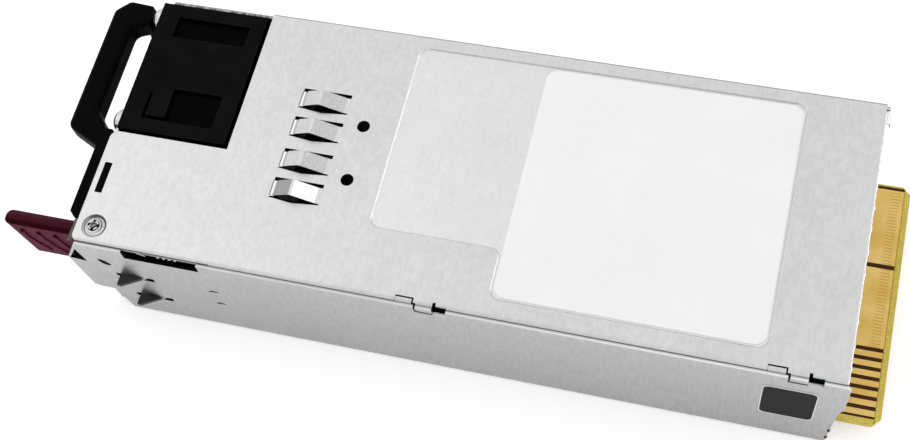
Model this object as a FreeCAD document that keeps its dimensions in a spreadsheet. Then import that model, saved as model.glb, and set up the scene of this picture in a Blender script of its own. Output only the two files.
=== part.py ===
import FreeCAD, Part
import math
import os
import re

import Sketcher
from FreeCAD import Placement, Rotation, Vector

# Hot swap server power supply, in millimetres.
# Inside each sub-part the origin is the front, latch-side, bottom corner of the case:
# +X runs from the handle to the board edge, +Y from the latch side to the far side, +Z up.
# Every sub-part is then placed so that the frame's origin is the middle of the case's underside.

SIZES = {
    # case
    "case_length": 188, "case_width": 73.5, "case_height": 39, "plate": 0.8, "gap": 0.1,
    "bend": 0.7, "corner_cut": 3.9,
    # front ear of the latch-side wall and the cuts in that wall
    "ear_reach": 4.5, "ear_low": 12, "ear_drop": 9.4, "ear_root": 2.2,
    "ear_margin": 0.4, "ear_window": 6.2, "slot_x": 3.8, "slot_slant": 2.5,
    "slot_thick": 1.2, "notch_start": 13, "notch_end": 33, "notch_depth": 3.4,
    "rear_lip": 1, "rear_lip_low": 24.6, "rear_lip_slope": 2.6, "rear_lip_top": 1.2,
    "far_start": 1.5,
    # interlocks along the latch-side seam
    "lock_first": 83.4, "lock_pitch": 87.1, "lock_tab": 4.1, "lock_step": 5, "lock_notch": 7.6,
    "lock_depth": 2.4, "lock_lap": 1.4, "lock_play": 0.35, "lock_relief": 0.5,
    "flange_depth": 3,
    # cover
    "cut_clear": 1.3, "cut_side": 1.2, "cut_radius": 2.5, "slot_start": 14.8,
    "slot_width": 8.6, "slot_front": 0.6, "slot_length": 2,
    "press_depth": 0.4, "press_front": 72.2, "press_step": 105.1, "press_end": 169.6,
    "press_low": 18.8, "press_side": 6, "press_inset": 3.5, "press_round": 2.5,
    "press_bevel": 0.3,
    "lance_front": 45.4, "lance_length": 12.8, "lance_width": 5.7, "lance_rise": 2.4,
    "lance_slot": 0.4, "lance_gap_far": 1, "lance_pitch": 8.3, "lance_gap": 9.3,
    "lance_centre": 37.4, "lance_foot": 0.9, "lance_root": 0.4,
    "hole_diameter": 3.3, "hole_x": 63.4, "hole_pitch": 15.3,
    "cover_screw_x": 4, "cover_screw_y": 5.7, "screw_core": 2.9, "screw_head": 5.6,
    "screw_head_depth": 1.6, "screw_dome": 1.05, "screw_length": 4.4, "screw_play": 0.3,
    "recess_reach": 1.6, "recess_half": 0.42, "recess_core": 1.9, "dimple": 6.4,
    "dimple_depth": 0.35,
    # front plate, bezel and handle
    "bezel_depth": 2.8, "bezel_low": 3.4, "bezel_near": 11.8, "bezel_far": 32.8,
    "ledge_near": 7.3, "ledge": 1.5, "hook_thick": 1.2,
    "handle_reach": 13.9, "handle_bar": 6.6, "handle_rise": 6.5, "handle_drop": 2.5,
    "handle_near": 30.6, "handle_side": 0.4, "handle_chamfer": 3.6, "handle_slope": 5.6,
    "handle_leg": 4.6, "handle_round": 1.4, "foot_drop": 4.2, "foot_back": 3,
    "foot_inset": 1.8, "peg_rise": 2.6,
    # inlet
    "inlet_y": 21.5, "inlet_z": 17.6, "inlet_width": 18.2, "inlet_height": 25.6,
    "inlet_wall": 0.9, "inlet_sink": 0.3, "inlet_shoulder": 1.6, "inlet_depth": 24,
    "socket_depth": 18, "socket_chamfer": 4.2, "pin_width": 4, "pin_thick": 2, "pin_length": 15.5, "pin_pitch": 7, "pin_offset": 2,
    "tab_length": 7, "lead_diameter": 2.6, "lead_bend": 4,
    # lever and latch
    "lever_y": 3, "lever_thick": 3.9, "lever_reach": 21, "lever_slant": 2.3, "lever_drop": 2.1,
    "lever_height": 15.5, "rib_depth": 0.4, "rib_width": 0.5,
    "rib_pitch": 4.6, "arm_low": 12.9, "arm_top": 25.5, "pivot_x": 33.5, "pivot_y": 4,
    "pivot_pin": 2, "pivot_play": 0.05, "knuckle": 2.6, "lug": 0.8, "lug_low": 14.3,
    "lug_high": 22, "latch_plate": 1, "latch_low": 9.6, "latch_high": 25.2,
    "tooth_reach": 3, "tooth_thick": 1, "tooth_length": 7, "tooth_high": 23.3,
    "tooth_low": 11.4, "tooth_x": 7.9, "tooth_shift": 1.6, "slit_play": 0.45,
    "slit_front": 1.3, "slit_back": 2.2, "rivet_diameter": 2.4, "rivet_head": 4,
    "rivet_depth": 0.5,
    "spring_wire": 0.6, "spring_turns": 4,
    # fan, as wide as its bay between the inlet and the far wall
    "gasket": 1.5, "guard_drop": 1.5, "guard_wall": 0.8, "guard_ear": 0.4,
    "guard_band": 1.2, "guard_spoke": 1.1, "fan_depth": 28, "fan_play": 0.2,
    "fan_side": 0.4, "fan_near": 3.1,
    "fan_wall": 1.1, "fan_hole_inset": 3.3, "fan_hole": 3.4, "fan_recess": 1.1,
    "hub_diameter": 18, "hub_wall": 1.2, "hub_length": 19, "blade_count": 7,
    "blade_play": 0.7, "blade_thick": 1, "blade_twist": 24, "shaft_diameter": 3,
    "shaft_play": 0.04, "bearing_diameter": 6, "bearing_width": 2.5, "tube_diameter": 8,
    "stator_diameter": 14, "stator_length": 9, "base_thick": 3, "strut_width": 2.2,
    "fan_screw_length": 9, "pan_head": 5.8, "pan_depth": 2.1, "wire_diameter": 1.1,
    "wire_pitch": 1.3,
    # board
    "board_gap": 7.6, "board_thick": 1.6, "board_margin": 0.9, "standoff_height": 3.6,
    "tongue": 11.1, "tongue_near": 4.3, "tongue_inset": 4, "tongue_chamfer": 2,
    "contact_thick": 0.05, "contact_back": 1.6, "power_start": 24.2, "power_split": 46.3,
    "power_gap": 1.2, "power_edge": 1.3,
    "signal_pitch": 2.54, "signal_width": 1.5, "signal_count": 7, "standoff": 5.5,
    "sheet_thick": 0.3, "board_screw_head": 5.2, "board_screw_depth": 2,
    "screw_inset": 4.2,
    # light
    "pipe_diameter": 2.8, "pipe_y": 9, "pipe_rise": 3.3, "pipe_proud": 0.6, "led_length": 4,
    # filter stage
    "fuse_x": 13, "fuse_y": 8, "fuse_length": 20, "fuse_diameter": 5, "fuse_cap": 0.3,
    "relay_x": 18, "relay_length": 19, "relay_width": 14, "relay_height": 15,
    "film_x": 13, "film_length": 18, "film_width": 8, "film_height": 14.5, "film_near": 12.5,
    "film_inset": 22, "disc_diameter": 8.5, "disc_thick": 3.2, "disc_near": 26,
    "disc_pitch": 5, "ring_outer": 17, "ring_inner": 9, "ring_thick": 6, "ring_wire": 1.5,
    "ring_near": 27.5, "ring_pitch": 12.5, "boost_outer": 23, "boost_inner": 12,
    "boost_thick": 9, "boost_wire": 2, "boost_y": 18,
    # power stages
    "web_inset": 12, "web_thick": 2, "fin_reach": 5, "fin_thick": 1.2, "fin_pitch": 5,
    "sink_clear": 4, "package_width": 10, "package_thick": 4.6, "package_tab": 1.3,
    "can_near": 5, "can_gap": 1.3, "can_rise": 1.4, "core_width": 26, "core_inset": 21.5, "core_leg": 3.5, "core_length": 22,
    "core_height": 24, "core_limb": 4, "core_post": 9, "core_pin": 3, "standby_length": 14,
    "standby_width": 12, "standby_height": 14, "round_diameter": 8, "round_height": 18,
    "bar_height": 9, "bar_thick": 1, "bar_foot": 2.4, "bar_length": 6, "control_y": 2.2,
    "control_thick": 1.4, "control_height": 26, "chip_thick": 1.1,
    # labels
    "label_clear": 0.4, "label_margin": 0.5,
    "label_radius": 3, "label_thick": 0.12, "side_label_front": 170, "side_label_length": 12.8,
    "side_label_low": 13.5, "side_label_high": 32,
    # rear vent plate
    "vent_hole": 3.6, "vent_pitch": 5,
}

doc = FreeCAD.newDocument("power_supply")
sheet = doc.addObject("Spreadsheet::Sheet", "Sizes")
for row, (alias, number) in enumerate(SIZES.items(), start=1):
    sheet.set("A%d" % row, alias)
    sheet.set("B%d" % row, str(number))
    sheet.setAlias("B%d" % row, alias)
doc.recompute()

# Places that several sub-parts share, as formulas of the sheet.
FACE = "(-gap - plate)"
BEZEL = "(-gap - plate - bezel_depth)"
COVER_FRONT = "(-plate)"
COVER_LOW = "(case_height - plate)"
FLANGE_LOW = "(case_height - 2 * plate - gap)"
HOOK_LOW = "(case_height - plate - gap - hook_thick)"
EAR_MID = "(case_height - ear_drop)"
LEVER_TOP = "(case_height - lever_drop)"
LEVER_LOW = "(case_height - lever_drop - lever_height)"
HANDLE_FAR = "(case_width - handle_side)"
HANDLE_LOW = "(case_height - handle_drop - handle_rise)"
PEG_Y = "(case_width - handle_side - foot_inset - handle_leg / 2)"
PEG_Z = "(case_height - handle_drop - handle_rise - foot_drop + peg_rise)"
INLET_FRONT = "(-gap - plate - bezel_depth + inlet_sink)"
SOCKET_BACK = "(-gap - plate - bezel_depth + inlet_sink + socket_depth)"
PIN_PLACES = [("inlet_y - pin_offset", "inlet_z - pin_pitch"),
              ("inlet_y - pin_offset", "inlet_z + pin_pitch"),
              ("inlet_y + pin_offset", "inlet_z")]
RIVET_PLACES = [("tooth_x + 4", "(arm_low + arm_top) / 2"),
                ("pivot_x - 9", "(arm_low + arm_top) / 2")]
FAN_FRONT = "(gasket - gap)"
FAN_BACK = "(gasket - gap + fan_depth)"
FAN_WIDTH = "(case_width - plate - fan_side - inlet_y - inlet_width / 2 - fan_near)"
FAN_HEIGHT = "(case_height - 2 * fan_play)"
FAN_BORE = "(min(%s; %s) - 2 * fan_wall)" % (FAN_WIDTH, FAN_HEIGHT)
FAN_Y = "(case_width - plate - fan_side - %s / 2)" % FAN_WIDTH
FAN_AXIS = (FAN_Y, "(case_height / 2)")
FAN_CUT = "(inlet_y + inlet_width / 2 + fan_near - cut_side)"
FAN_END = "(gasket - gap + fan_depth + cut_clear)"
BOARD_FRONT = "(gasket - gap + fan_depth + board_gap)"
BOARD_LOW = "(plate + standoff_height)"
BOARD_TOP = "(plate + standoff_height + board_thick)"
BOARD_REAR = "(case_length - rear_lip - plate)"
TONGUE_FAR = "(case_width - tongue_inset)"
WEB_Y = "(case_width - web_inset)"
PRESS_FAR = "(case_width - press_inset)"
GUARD_TOP = "(case_height - fan_play - guard_drop)"
GUARD_BORE = "(2 * (%s - guard_wall) - case_height)" % GUARD_TOP

WORD = re.compile(r"[a-z][a-z_]*")
homes = {}
finished = []


def size(alias):
    """The present value of a cell of the sheet."""
    return float(sheet.get(alias))


def bound(formula):
    """A formula of cell names as FreeCAD's expression engine reads it."""
    if isinstance(formula, (int, float)):
        return repr(float(formula))
    return WORD.sub(lambda found: "Sizes." + found.group(0) if found.group(0) in SIZES
                    else found.group(0), formula)


def value(formula):
    """The present value of a formula of cell names."""
    return float(sheet.evalExpression(bound(formula)))


def bind(thing, **formulas):
    """Bind properties of an object to formulas of the sheet."""
    for name, formula in formulas.items():
        thing.setExpression(name, bound(formula))


def place(thing, x="0", y="0", z="0"):
    """Bind the base point of an object's Placement, and remember it."""
    homes[thing.Name] = (x, y, z)
    thing.setExpression("Placement.Base.x", bound(x))
    thing.setExpression("Placement.Base.y", bound(y))
    thing.setExpression("Placement.Base.z", bound(z))


def finish(thing, label, x="0", y="0", z="0"):
    """Name a sub-part and put it, moved by x, y and z, in the frame of the assembly."""
    thing.Label = label
    x, y, z = homes.get(thing.Name, (x, y, z))
    place(thing, "%s - case_length / 2" % x, "%s - case_width / 2" % y, z)
    finished.append(thing)
    return thing


def span(low, high):
    return "(%s) - (%s)" % (high, low)


def slab(x, y, z):
    """A box between two formulas on each axis."""
    box = doc.addObject("Part::Box", "Slab")
    bind(box, Length=span(*x), Width=span(*y), Height=span(*z))
    place(box, x[0], y[0], z[0])
    return box


TURNS = {"x": Rotation(Vector(0, 1, 0), 90), "y": Rotation(Vector(1, 0, 0), -90),
         "z": Rotation()}


def rod(axis, start, length, diameter):
    """A cylinder from a start point along +X, +Y or +Z."""
    cylinder = doc.addObject("Part::Cylinder", "Rod")
    cylinder.Placement = Placement(Vector(), TURNS[axis])
    bind(cylinder, Radius="(%s) / 2" % diameter, Height=length)
    place(cylinder, *start)
    return cylinder


def ring(axis, centre, middle, wire):
    """A torus: middle diameter and wire diameter, about an axis."""
    torus = doc.addObject("Part::Torus", "Ring")
    torus.Placement = Placement(Vector(), TURNS[axis])
    bind(torus, Radius1="(%s) / 2" % middle, Radius2="(%s) / 2" % wire)
    place(torus, *centre)
    return torus


def groove(axis, start, width, outer, inner):
    """A ring of square section, to be cut from a round part."""
    return less(rod(axis, start, width, outer), rod(axis, start, width, inner))


def together(*things):
    """Solids joined into one, or a group of separate solids."""
    if len(things) == 1:
        return things[0]
    fusion = doc.addObject("Part::MultiFuse", "Joined")
    fusion.Shapes = list(things)
    return fusion


def less(base, *tools):
    """A base with tools cut away."""
    cut = doc.addObject("Part::Cut", "Less")
    cut.Base = base
    cut.Tool = together(*tools)
    return cut


def new_body(name):
    return doc.addObject("PartDesign::Body", name)


def origin_plane(body, role):
    return next(part for part in body.Origin.OriginFeatures if part.Role == role)


def sketch_on(body, role, offset=0):
    """A sketch on an origin plane of the body, moved along the plane's normal."""
    drawing = body.newObject("Sketcher::SketchObject", body.Name + "_sketch")
    drawing.AttachmentSupport = (origin_plane(body, role), [""])
    drawing.MapMode = "FlatFace"
    drawing.setExpression("AttachmentOffset.Base.z", bound(offset))
    return drawing


def tie(drawing, found):
    """Add constraints to a sketch and bind each that has a formula."""
    numbers = drawing.addConstraint([constraint for constraint, formula in found])
    for number, (constraint, formula) in zip(numbers, found):
        if formula is not None:
            drawing.setExpression("Constraints[%d]" % number, bound(formula))


def from_origin(geometry, point, across, up):
    """The two distances that hold a sketch point at a pair of formulas."""
    return [(Sketcher.Constraint("DistanceX", -1, 1, geometry, point, 1.0), across),
            (Sketcher.Constraint("DistanceY", -1, 1, geometry, point, 1.0), up)]


def outline(drawing, points):
    """A closed outline of straight runs, each corner bound to a pair of formulas."""
    count = len(points)
    first = drawing.GeometryCount
    guess = [Vector(math.cos(2 * math.pi * k / count), math.sin(2 * math.pi * k / count), 0)
             for k in range(count)]
    drawing.addGeometry([Part.LineSegment(guess[k], guess[(k + 1) % count])
                         for k in range(count)], False)
    found = [(Sketcher.Constraint("Coincident", first + k, 2, first + (k + 1) % count, 1), None)
             for k in range(count)]
    for k, (across, up) in enumerate(points):
        found += from_origin(first + k, 1, across, up)
    tie(drawing, found)
    return drawing


def rectangle(drawing, across, up):
    return outline(drawing, [(across[0], up[0]), (across[1], up[0]),
                             (across[1], up[1]), (across[0], up[1])])


def circle(drawing, centre, diameter):
    """A circle bound to a centre and a diameter."""
    index = drawing.addGeometry(Part.Circle(Vector(1, 1, 0), Vector(0, 0, 1), 1), False)
    tie(drawing, from_origin(index, 3, *centre)
        + [(Sketcher.Constraint("Diameter", index, 2.0), diameter)])
    return drawing


def pad(body, drawing, length, back=False):
    feature = body.newObject("PartDesign::Pad", body.Name + "_pad")
    feature.Profile = drawing
    feature.Reversed = back
    feature.setExpression("Length", bound(length))
    return feature


def pocket(body, drawing, length, back=False):
    feature = body.newObject("PartDesign::Pocket", body.Name + "_pocket")
    feature.Profile = drawing
    feature.Reversed = back
    feature.setExpression("Length", bound(length))
    return feature


def lies_at(edge, direction, **spots):
    """True for a straight edge along an axis whose middle has the given coordinates."""
    if edge.Curve.TypeId != "Part::GeomLine":
        return False
    run = edge.Vertexes[-1].Point - edge.Vertexes[0].Point
    if run.Length < 1e-6 or abs(run.normalize().dot(direction)) < 0.999:
        return False
    middle = edge.CenterOfMass
    return all(abs(getattr(middle, axis) - spot) < 0.02 for axis, spot in spots.items())


def soften(body, kind, amount, keep):
    """A fillet or a chamfer on the body's edges that pass a test."""
    doc.recompute()
    base = body.Tip
    names = ["Edge%d" % number for number, edge in enumerate(base.Shape.Edges, start=1)
             if keep(edge)]
    if not names:
        raise ValueError("no edge to soften on " + body.Name)
    feature = body.newObject("PartDesign::" + kind, body.Name + "_" + kind.lower())
    feature.Base = (base, names)
    feature.setExpression("Radius" if kind == "Fillet" else "Size", bound(amount))
    return feature


ALONG_X, ALONG_Y, ALONG_Z = Vector(1, 0, 0), Vector(0, 1, 0), Vector(0, 0, 1)


def wall_sketch(body, y):
    """A sketch of X and Z at a distance y from the latch side."""
    return sketch_on(body, "XZ_Plane", "-(%s)" % y)


def cut_wall(body, y, depth, across, up):
    """A rectangular opening through a wall that faces Y."""
    return pocket(body, rectangle(wall_sketch(body, y), across, up), depth)


def lock_places():
    """The start of each seam interlock along the case."""
    return ["lock_first", "(lock_first + lock_pitch)"]


# Case -----------------------------------------------------------------------------------

def make_chassis_tray():
    body = new_body("ChassisTray")
    far_inside = "case_width - plate"
    floor_points = [("corner_cut", 0), ("case_length - rear_lip", 0),
                    ("case_length - rear_lip", "case_width"), (FAN_END, "case_width"),
                    (FAN_END, FAN_CUT), (0, FAN_CUT),
                    (0, "corner_cut")]
    pad(body, outline(sketch_on(body, "XY_Plane"), floor_points), "plate")

    near_points = [
        ("corner_cut", 0), ("case_length - rear_lip", 0),
        ("case_length", "rear_lip_low - rear_lip_slope"),
        ("case_length + rear_lip", "rear_lip_low"),
        ("case_length + rear_lip", "case_height - rear_lip_top"), ("case_length", "case_height"),
        ("notch_end", "case_height"), ("notch_end", "case_height - notch_depth"),
        ("notch_start", "case_height - notch_depth"), ("notch_start", "case_height"),
        (0.4, "case_height"), ("-ear_reach", EAR_MID), ("-ear_reach + 1.2", "ear_low + 0.8"),
        ("-ear_reach + 3.2", "ear_low"), ("ear_root", "ear_low")]
    pad(body, outline(wall_sketch(body, 0), near_points), "plate", back=True)

    far_points = [("far_start", 0), ("case_length - rear_lip", 0),
                  ("case_length + rear_lip", "rear_lip_low"),
                  ("case_length + rear_lip", "case_height - rear_lip_top"),
                  ("case_length + rear_lip - 1", "case_height - plate - gap"),
                  ("far_start + 1", "case_height - plate - gap"),
                  ("far_start", "case_height - plate - 1")]
    pad(body, outline(wall_sketch(body, far_inside), far_points), "plate", back=True)

    # tabs of the wall that lap over the cover, and the notches the cover's tabs drop into
    for start in lock_places():
        tab = rectangle(sketch_on(body, "XY_Plane", COVER_LOW),
                        (start, start + " + lock_tab"), ("plate", "plate + lock_lap"))
        pad(body, tab, "plate")
        cut_wall(body, 0, "plate", (start + " + lock_step - gap",
                                    start + " + lock_step + lock_notch"),
                 ("case_height - lock_depth", "case_height"))

    # lugs that carry the latch pin, folded in from half-moon windows
    for low in ("lug_low", "lug_high"):
        lug = rectangle(sketch_on(body, "XY_Plane", low),
                        ("pivot_x - knuckle", "pivot_x + knuckle - 0.7"),
                        ("plate", "pivot_y + knuckle - 0.3"))
        pad(body, lug, "lug")
        moon = outline(wall_sketch(body, 0), [
            ("pivot_x - 1.7", low + " + lug + 0.1"), ("pivot_x + 1.5", low + " + lug + 0.1"),
            ("pivot_x + 1.1", low + " + lug + 1.0"), ("pivot_x + 0.3", low + " + lug + 1.5"),
            ("pivot_x - 0.5", low + " + lug + 1.5"), ("pivot_x - 1.3", low + " + lug + 1.0")])
        pocket(body, moon, "plate")
    pin_holes = circle(sketch_on(body, "XY_Plane", "lug_low - 1"), ("pivot_x", "pivot_y"),
                       "pivot_pin")
    pocket(body, pin_holes, "lug_high - lug_low + lug + 2", back=True)

    # slits for the two teeth, the ear's window and its small slanted slot
    for level, start in (("tooth_high", "tooth_x"), ("tooth_low", "tooth_x + tooth_shift")):
        cut_wall(body, 0, "plate",
                 (start + " - slit_front", start + " + tooth_length + slit_back"),
                 (level + " - tooth_thick / 2 - slit_play",
                  level + " + tooth_thick / 2 + slit_play"))
    window = outline(wall_sketch(body, 0), [
        ("-ear_reach + ear_margin", EAR_MID + " - 0.3"), ("ear_margin", EAR_MID + " - 0.9"),
        ("-ear_margin", EAR_MID + " + ear_window")])
    pocket(body, window, "plate")
    slant = outline(wall_sketch(body, 0), [
        ("slot_x", EAR_MID + " + 1.3"), ("slot_x + slot_slant", EAR_MID + " + 1.3 - slot_slant"),
        ("slot_x + slot_slant + slot_thick", EAR_MID + " + 2.2 - slot_slant"),
        ("slot_x + slot_thick", EAR_MID + " + 2.2")])
    pocket(body, slant, "plate")

    def long_lower_edge(edge):
        lower = edge.CenterOfMass.z < 0.01 and edge.Length > size("case_length") / 2
        sides = (0, size("case_width"))
        return lower and any(abs(edge.CenterOfMass.y - side) < 0.01 for side in sides)

    soften(body, "Fillet", "bend", long_lower_edge)
    finish(body, "chassis_tray")


def make_top_cover():
    body = new_body("TopCover")
    under = COVER_LOW
    near = "plate + gap"
    main = [(COVER_FRONT, near)]
    for start in lock_places():
        main += [(start + " - gap", near), (start + " - gap", "plate + lock_lap + gap"),
                 (start + " + lock_tab + gap", "plate + lock_lap + gap"),
                 (start + " + lock_tab + gap", near)]
    main += [("case_length", near), ("case_length", "case_width"),
             (FAN_END, "case_width"), (FAN_END, FAN_CUT), (COVER_FRONT, FAN_CUT)]
    pad(body, outline(sketch_on(body, "XY_Plane", under), main), "plate")

    # tabs that fold down over the latch-side wall into its notches
    for start in lock_places():
        begin, end = start + " + lock_step", start + " + lock_step + lock_tab"
        pad(body, rectangle(sketch_on(body, "XY_Plane", under), (begin, end), (0, near)),
            "plate")
        low = "case_height - lock_depth + lock_play"
        pad(body, rectangle(sketch_on(body, "XY_Plane", low), (begin, end), (0, "plate")),
            "lock_depth - plate - lock_play")
        notch = start + " + lock_step + lock_notch"
        rim = outline(sketch_on(body, "XY_Plane", under), [
            (end, "plate"), (notch, "plate"), (notch, "plate + gap + lock_relief"),
            (end + " + plate", "plate + gap + lock_relief"),
            (end + " + plate", "plate + lock_lap"), (end, "plate + lock_lap")])
        pocket(body, rim, "plate", back=True)

    # flanges that turn down behind the latch-side wall, between the interlocks
    flanges = [("notch_end + 3", "lock_first - 1"),
               ("lock_first + lock_step + lock_notch + 1", "lock_first + lock_pitch - 1")]
    for span_x in flanges:
        pad(body, rectangle(sketch_on(body, "XY_Plane", under + " - flange_depth"), span_x,
                            (near, "plate + gap + plate")), "flange_depth")

    # front slot that takes the bezel's hook, and the two round holes
    front_slot = rectangle(sketch_on(body, "XY_Plane", under),
                           ("slot_front", "slot_front + slot_length"),
                           ("slot_start", "slot_start + slot_width"))
    pocket(body, front_slot, "plate", back=True)
    holes = sketch_on(body, "XY_Plane", under)
    for side in (-1, 1):
        circle(holes, ("hole_x", "lance_centre + %d * hole_pitch / 2" % side), "hole_diameter")
    pocket(body, holes, "plate", back=True)
    screw_hole = circle(sketch_on(body, "XY_Plane", under), ("cover_screw_x", "cover_screw_y"),
                        "screw_core + screw_play")
    pocket(body, screw_hole, "plate", back=True)
    seat = circle(sketch_on(body, "XY_Plane", "case_height"),
                  ("cover_screw_x", "cover_screw_y"), "dimple")
    pocket(body, seat, "dimple_depth")

    # shallow pressed field: sunk on top, standing out below by the same depth
    field = [("press_front", "press_low"), ("press_step", "press_low"),
             ("press_step", "press_side"), ("press_end", "press_side"),
             ("press_end", PRESS_FAR), ("press_front", PRESS_FAR)]
    pad(body, outline(sketch_on(body, "XY_Plane", under + " - press_depth"), field),
        "press_depth")
    pocket(body, outline(sketch_on(body, "XY_Plane", "case_height"), field), "press_depth")

    # four bridge lances: the sheet is slit at both sides and pushed up to a ridge
    centres = ["lance_centre + (%s) * lance_gap / 2 + (%s) * lance_pitch / 2 + (%s) * "
               "lance_pitch / 2" % (side, side, step) for side in (-1, 1) for step in (-1, 1)]
    rise = [("lance_front - lance_root", 0), ("lance_front + lance_foot", 0),
            ("lance_front + lance_foot + 0.5", "lance_rise / 4"),
            ("lance_front + 0.42 * lance_length", "lance_rise"),
            ("lance_front + 0.46 * lance_length", "lance_rise"),
            ("lance_front + lance_length - lance_foot", 0),
            ("lance_front + lance_length + lance_root", 0)]
    top_line = [(across, "case_height + " + str(up)) for across, up in rise]
    low_line = [(across, "case_height - plate + " + str(up)) for across, up in reversed(rise)]
    for centre in centres:
        opening = rectangle(sketch_on(body, "XY_Plane", under),
                            ("lance_front", "lance_front + lance_length"),
                            (centre + " - lance_width / 2", centre + " + lance_width / 2"))
        pocket(body, opening, "plate", back=True)
        bridge = outline(wall_sketch(body, centre + " - lance_width / 2 + lance_slot"),
                         top_line + low_line)
        pad(body, bridge, "lance_width - lance_slot - lance_gap_far", back=True)

    def corner(edge):
        ends = [value(near), value(FAN_CUT)]
        return any(lies_at(edge, ALONG_Z, x=value(COVER_FRONT), y=y) for y in ends)

    def field_corner(edge):
        return any(lies_at(edge, ALONG_Z, x=value(x), y=value(y)) for x, y in field)

    def field_rim(edge):
        box = edge.BoundBox
        low, high = value("press_front") - 0.1, value("press_end") + 0.1
        inside = box.XMin > low and box.XMax < high and box.YMin > value("press_side") - 0.1 \
            and box.YMax < value(PRESS_FAR) + 0.1
        return inside and abs(box.ZMin - size("case_height")) < 0.01 and box.ZLength < 0.01

    soften(body, "Fillet", "cut_radius - 0.4", corner)
    soften(body, "Fillet", "press_round", field_corner)
    soften(body, "Chamfer", "press_bevel", field_rim)
    finish(body, "top_cover")


def make_cover_screw():
    head_low = "case_height - dimple_depth"
    shank = rod("z", ("cover_screw_x", "cover_screw_y", "case_height - screw_length"),
                "screw_length - dimple_depth", "screw_core")
    head = doc.addObject("Part::Sphere", "Dome")
    bind(head, Radius="screw_head * 0.75")
    place(head, "cover_screw_x", "cover_screw_y",
          head_low + " + screw_dome - screw_head * 0.75")
    keep = rod("z", ("cover_screw_x", "cover_screw_y", head_low), "screw_head_depth",
               "screw_head")
    dome = doc.addObject("Part::Common", "Head")
    dome.Base = head
    dome.Tool = keep
    arms = [slab(("cover_screw_x - " + along, "cover_screw_x + " + along),
                 ("cover_screw_y - " + across, "cover_screw_y + " + across),
                 ("case_height - gap", "case_height + screw_head_depth"))
            for along, across in (("recess_reach", "recess_half"),
                                  ("recess_half", "recess_reach"))]
    core = rod("z", ("cover_screw_x", "cover_screw_y", "case_height - 4 * gap"),
               "screw_head_depth", "recess_core")
    finish(less(together(shank, dome), core, *arms), "cover_screw")


def fan_hole(side, level):
    """The middle of a fan corner hole, in Y and Z."""
    return ("%s + (%d) * (%s / 2 - fan_hole_inset)" % (FAN_Y, side, FAN_WIDTH),
            "case_height / 2 + (%d) * (%s / 2 - fan_hole_inset)" % (level, FAN_HEIGHT))


def make_front_plate():
    body = new_body("FrontPlate")
    sheet_sketch = sketch_on(body, "YZ_Plane", FACE)
    top_edge = COVER_LOW + " - gap"
    outline(sheet_sketch, [
        ("lever_y - plate", 0), ("case_width - gap", 0), ("case_width - gap", GUARD_TOP),
        (FAN_CUT + " + gap", GUARD_TOP), (FAN_CUT + " + gap", top_edge),
        ("lever_y - plate", top_edge)])
    pad(body, sheet_sketch, "plate")
    ears = sketch_on(body, "YZ_Plane", FACE)
    for side in (-1, 1):
        circle(ears, fan_hole(side, 1), "pan_head + 2 * guard_ear")
    pad(body, ears, "plate")

    def opening(across, up):
        pocket(body, rectangle(sketch_on(body, "YZ_Plane", FACE), across, up), "plate",
               back=True)

    opening(("lever_y - plate", "bezel_near - gap"), (LEVER_LOW + " - 0.5", FLANGE_LOW))
    opening(("inlet_y - inlet_width / 2 - gap", "inlet_y + inlet_width / 2 + gap"),
            ("inlet_z - inlet_height / 2 - gap", "inlet_z + inlet_height / 2 + gap"))
    opening(("slot_start", "slot_start + slot_width"), (HOOK_LOW + " - gap", top_edge))
    holes = sketch_on(body, "YZ_Plane", FACE)
    circle(holes, FAN_AXIS, GUARD_BORE)
    circle(holes, ("pipe_y", BOARD_TOP + " + pipe_rise"), "pipe_diameter + 2 * gap")
    circle(holes, (PEG_Y, PEG_Z), "handle_leg / 2 + 2 * gap")
    for side in (-1, 1):
        for level in (-1, 1):
            circle(holes, fan_hole(side, level), "fan_hole")
    pocket(body, holes, "plate", back=True)

    # pressed finger guard: two rings and a middle disc on four slanted spokes
    guard = sketch_on(body, "YZ_Plane", FACE)
    circle(guard, FAN_AXIS, FAN_BORE + " * 0.32")
    pad(body, guard, "plate")
    for share in (0.55, 0.79):
        band = sketch_on(body, "YZ_Plane", FACE)
        circle(band, FAN_AXIS, "%s * %s" % (FAN_BORE, share))
        circle(band, FAN_AXIS, "%s * %s - 2 * guard_band" % (FAN_BORE, share))
        pad(body, band, "plate")
    centre_y, centre_z = FAN_AXIS
    near, far = (FAN_BORE + " * 0.36 - guard_spoke"), (FAN_BORE + " * 0.36 + guard_spoke")
    for turn in (-1, 1):
        spoke = sketch_on(body, "YZ_Plane", FACE)
        outline(spoke, [
            ("%s - (%s)" % (centre_y, far), "%s - (%d) * (%s)" % (centre_z, turn, near)),
            ("%s - (%s)" % (centre_y, near), "%s - (%d) * (%s)" % (centre_z, turn, far)),
            ("%s + (%s)" % (centre_y, far), "%s + (%d) * (%s)" % (centre_z, turn, near)),
            ("%s + (%s)" % (centre_y, near), "%s + (%d) * (%s)" % (centre_z, turn, far))])
        pad(body, spoke, "plate")

    # flanges: one under the cover for its screw, one on the floor below the inlet
    top = sketch_on(body, "XY_Plane", FLANGE_LOW)
    rectangle(top, (FACE, "cover_screw_x + 4.5"), ("lever_y - plate", "bezel_near - 1"))
    pad(body, top, "plate")
    bottom = sketch_on(body, "XY_Plane", "plate + gap / 2")
    rectangle(bottom, (FACE, "8"), ("corner_cut + 2", FAN_CUT + " - 2"))
    pad(body, bottom, "plate")
    tapped = circle(sketch_on(body, "XY_Plane", FLANGE_LOW),
                    ("cover_screw_x", "cover_screw_y"), "screw_core")
    pocket(body, tapped, "plate", back=True)
    finish(body, "front_plate")


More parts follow.
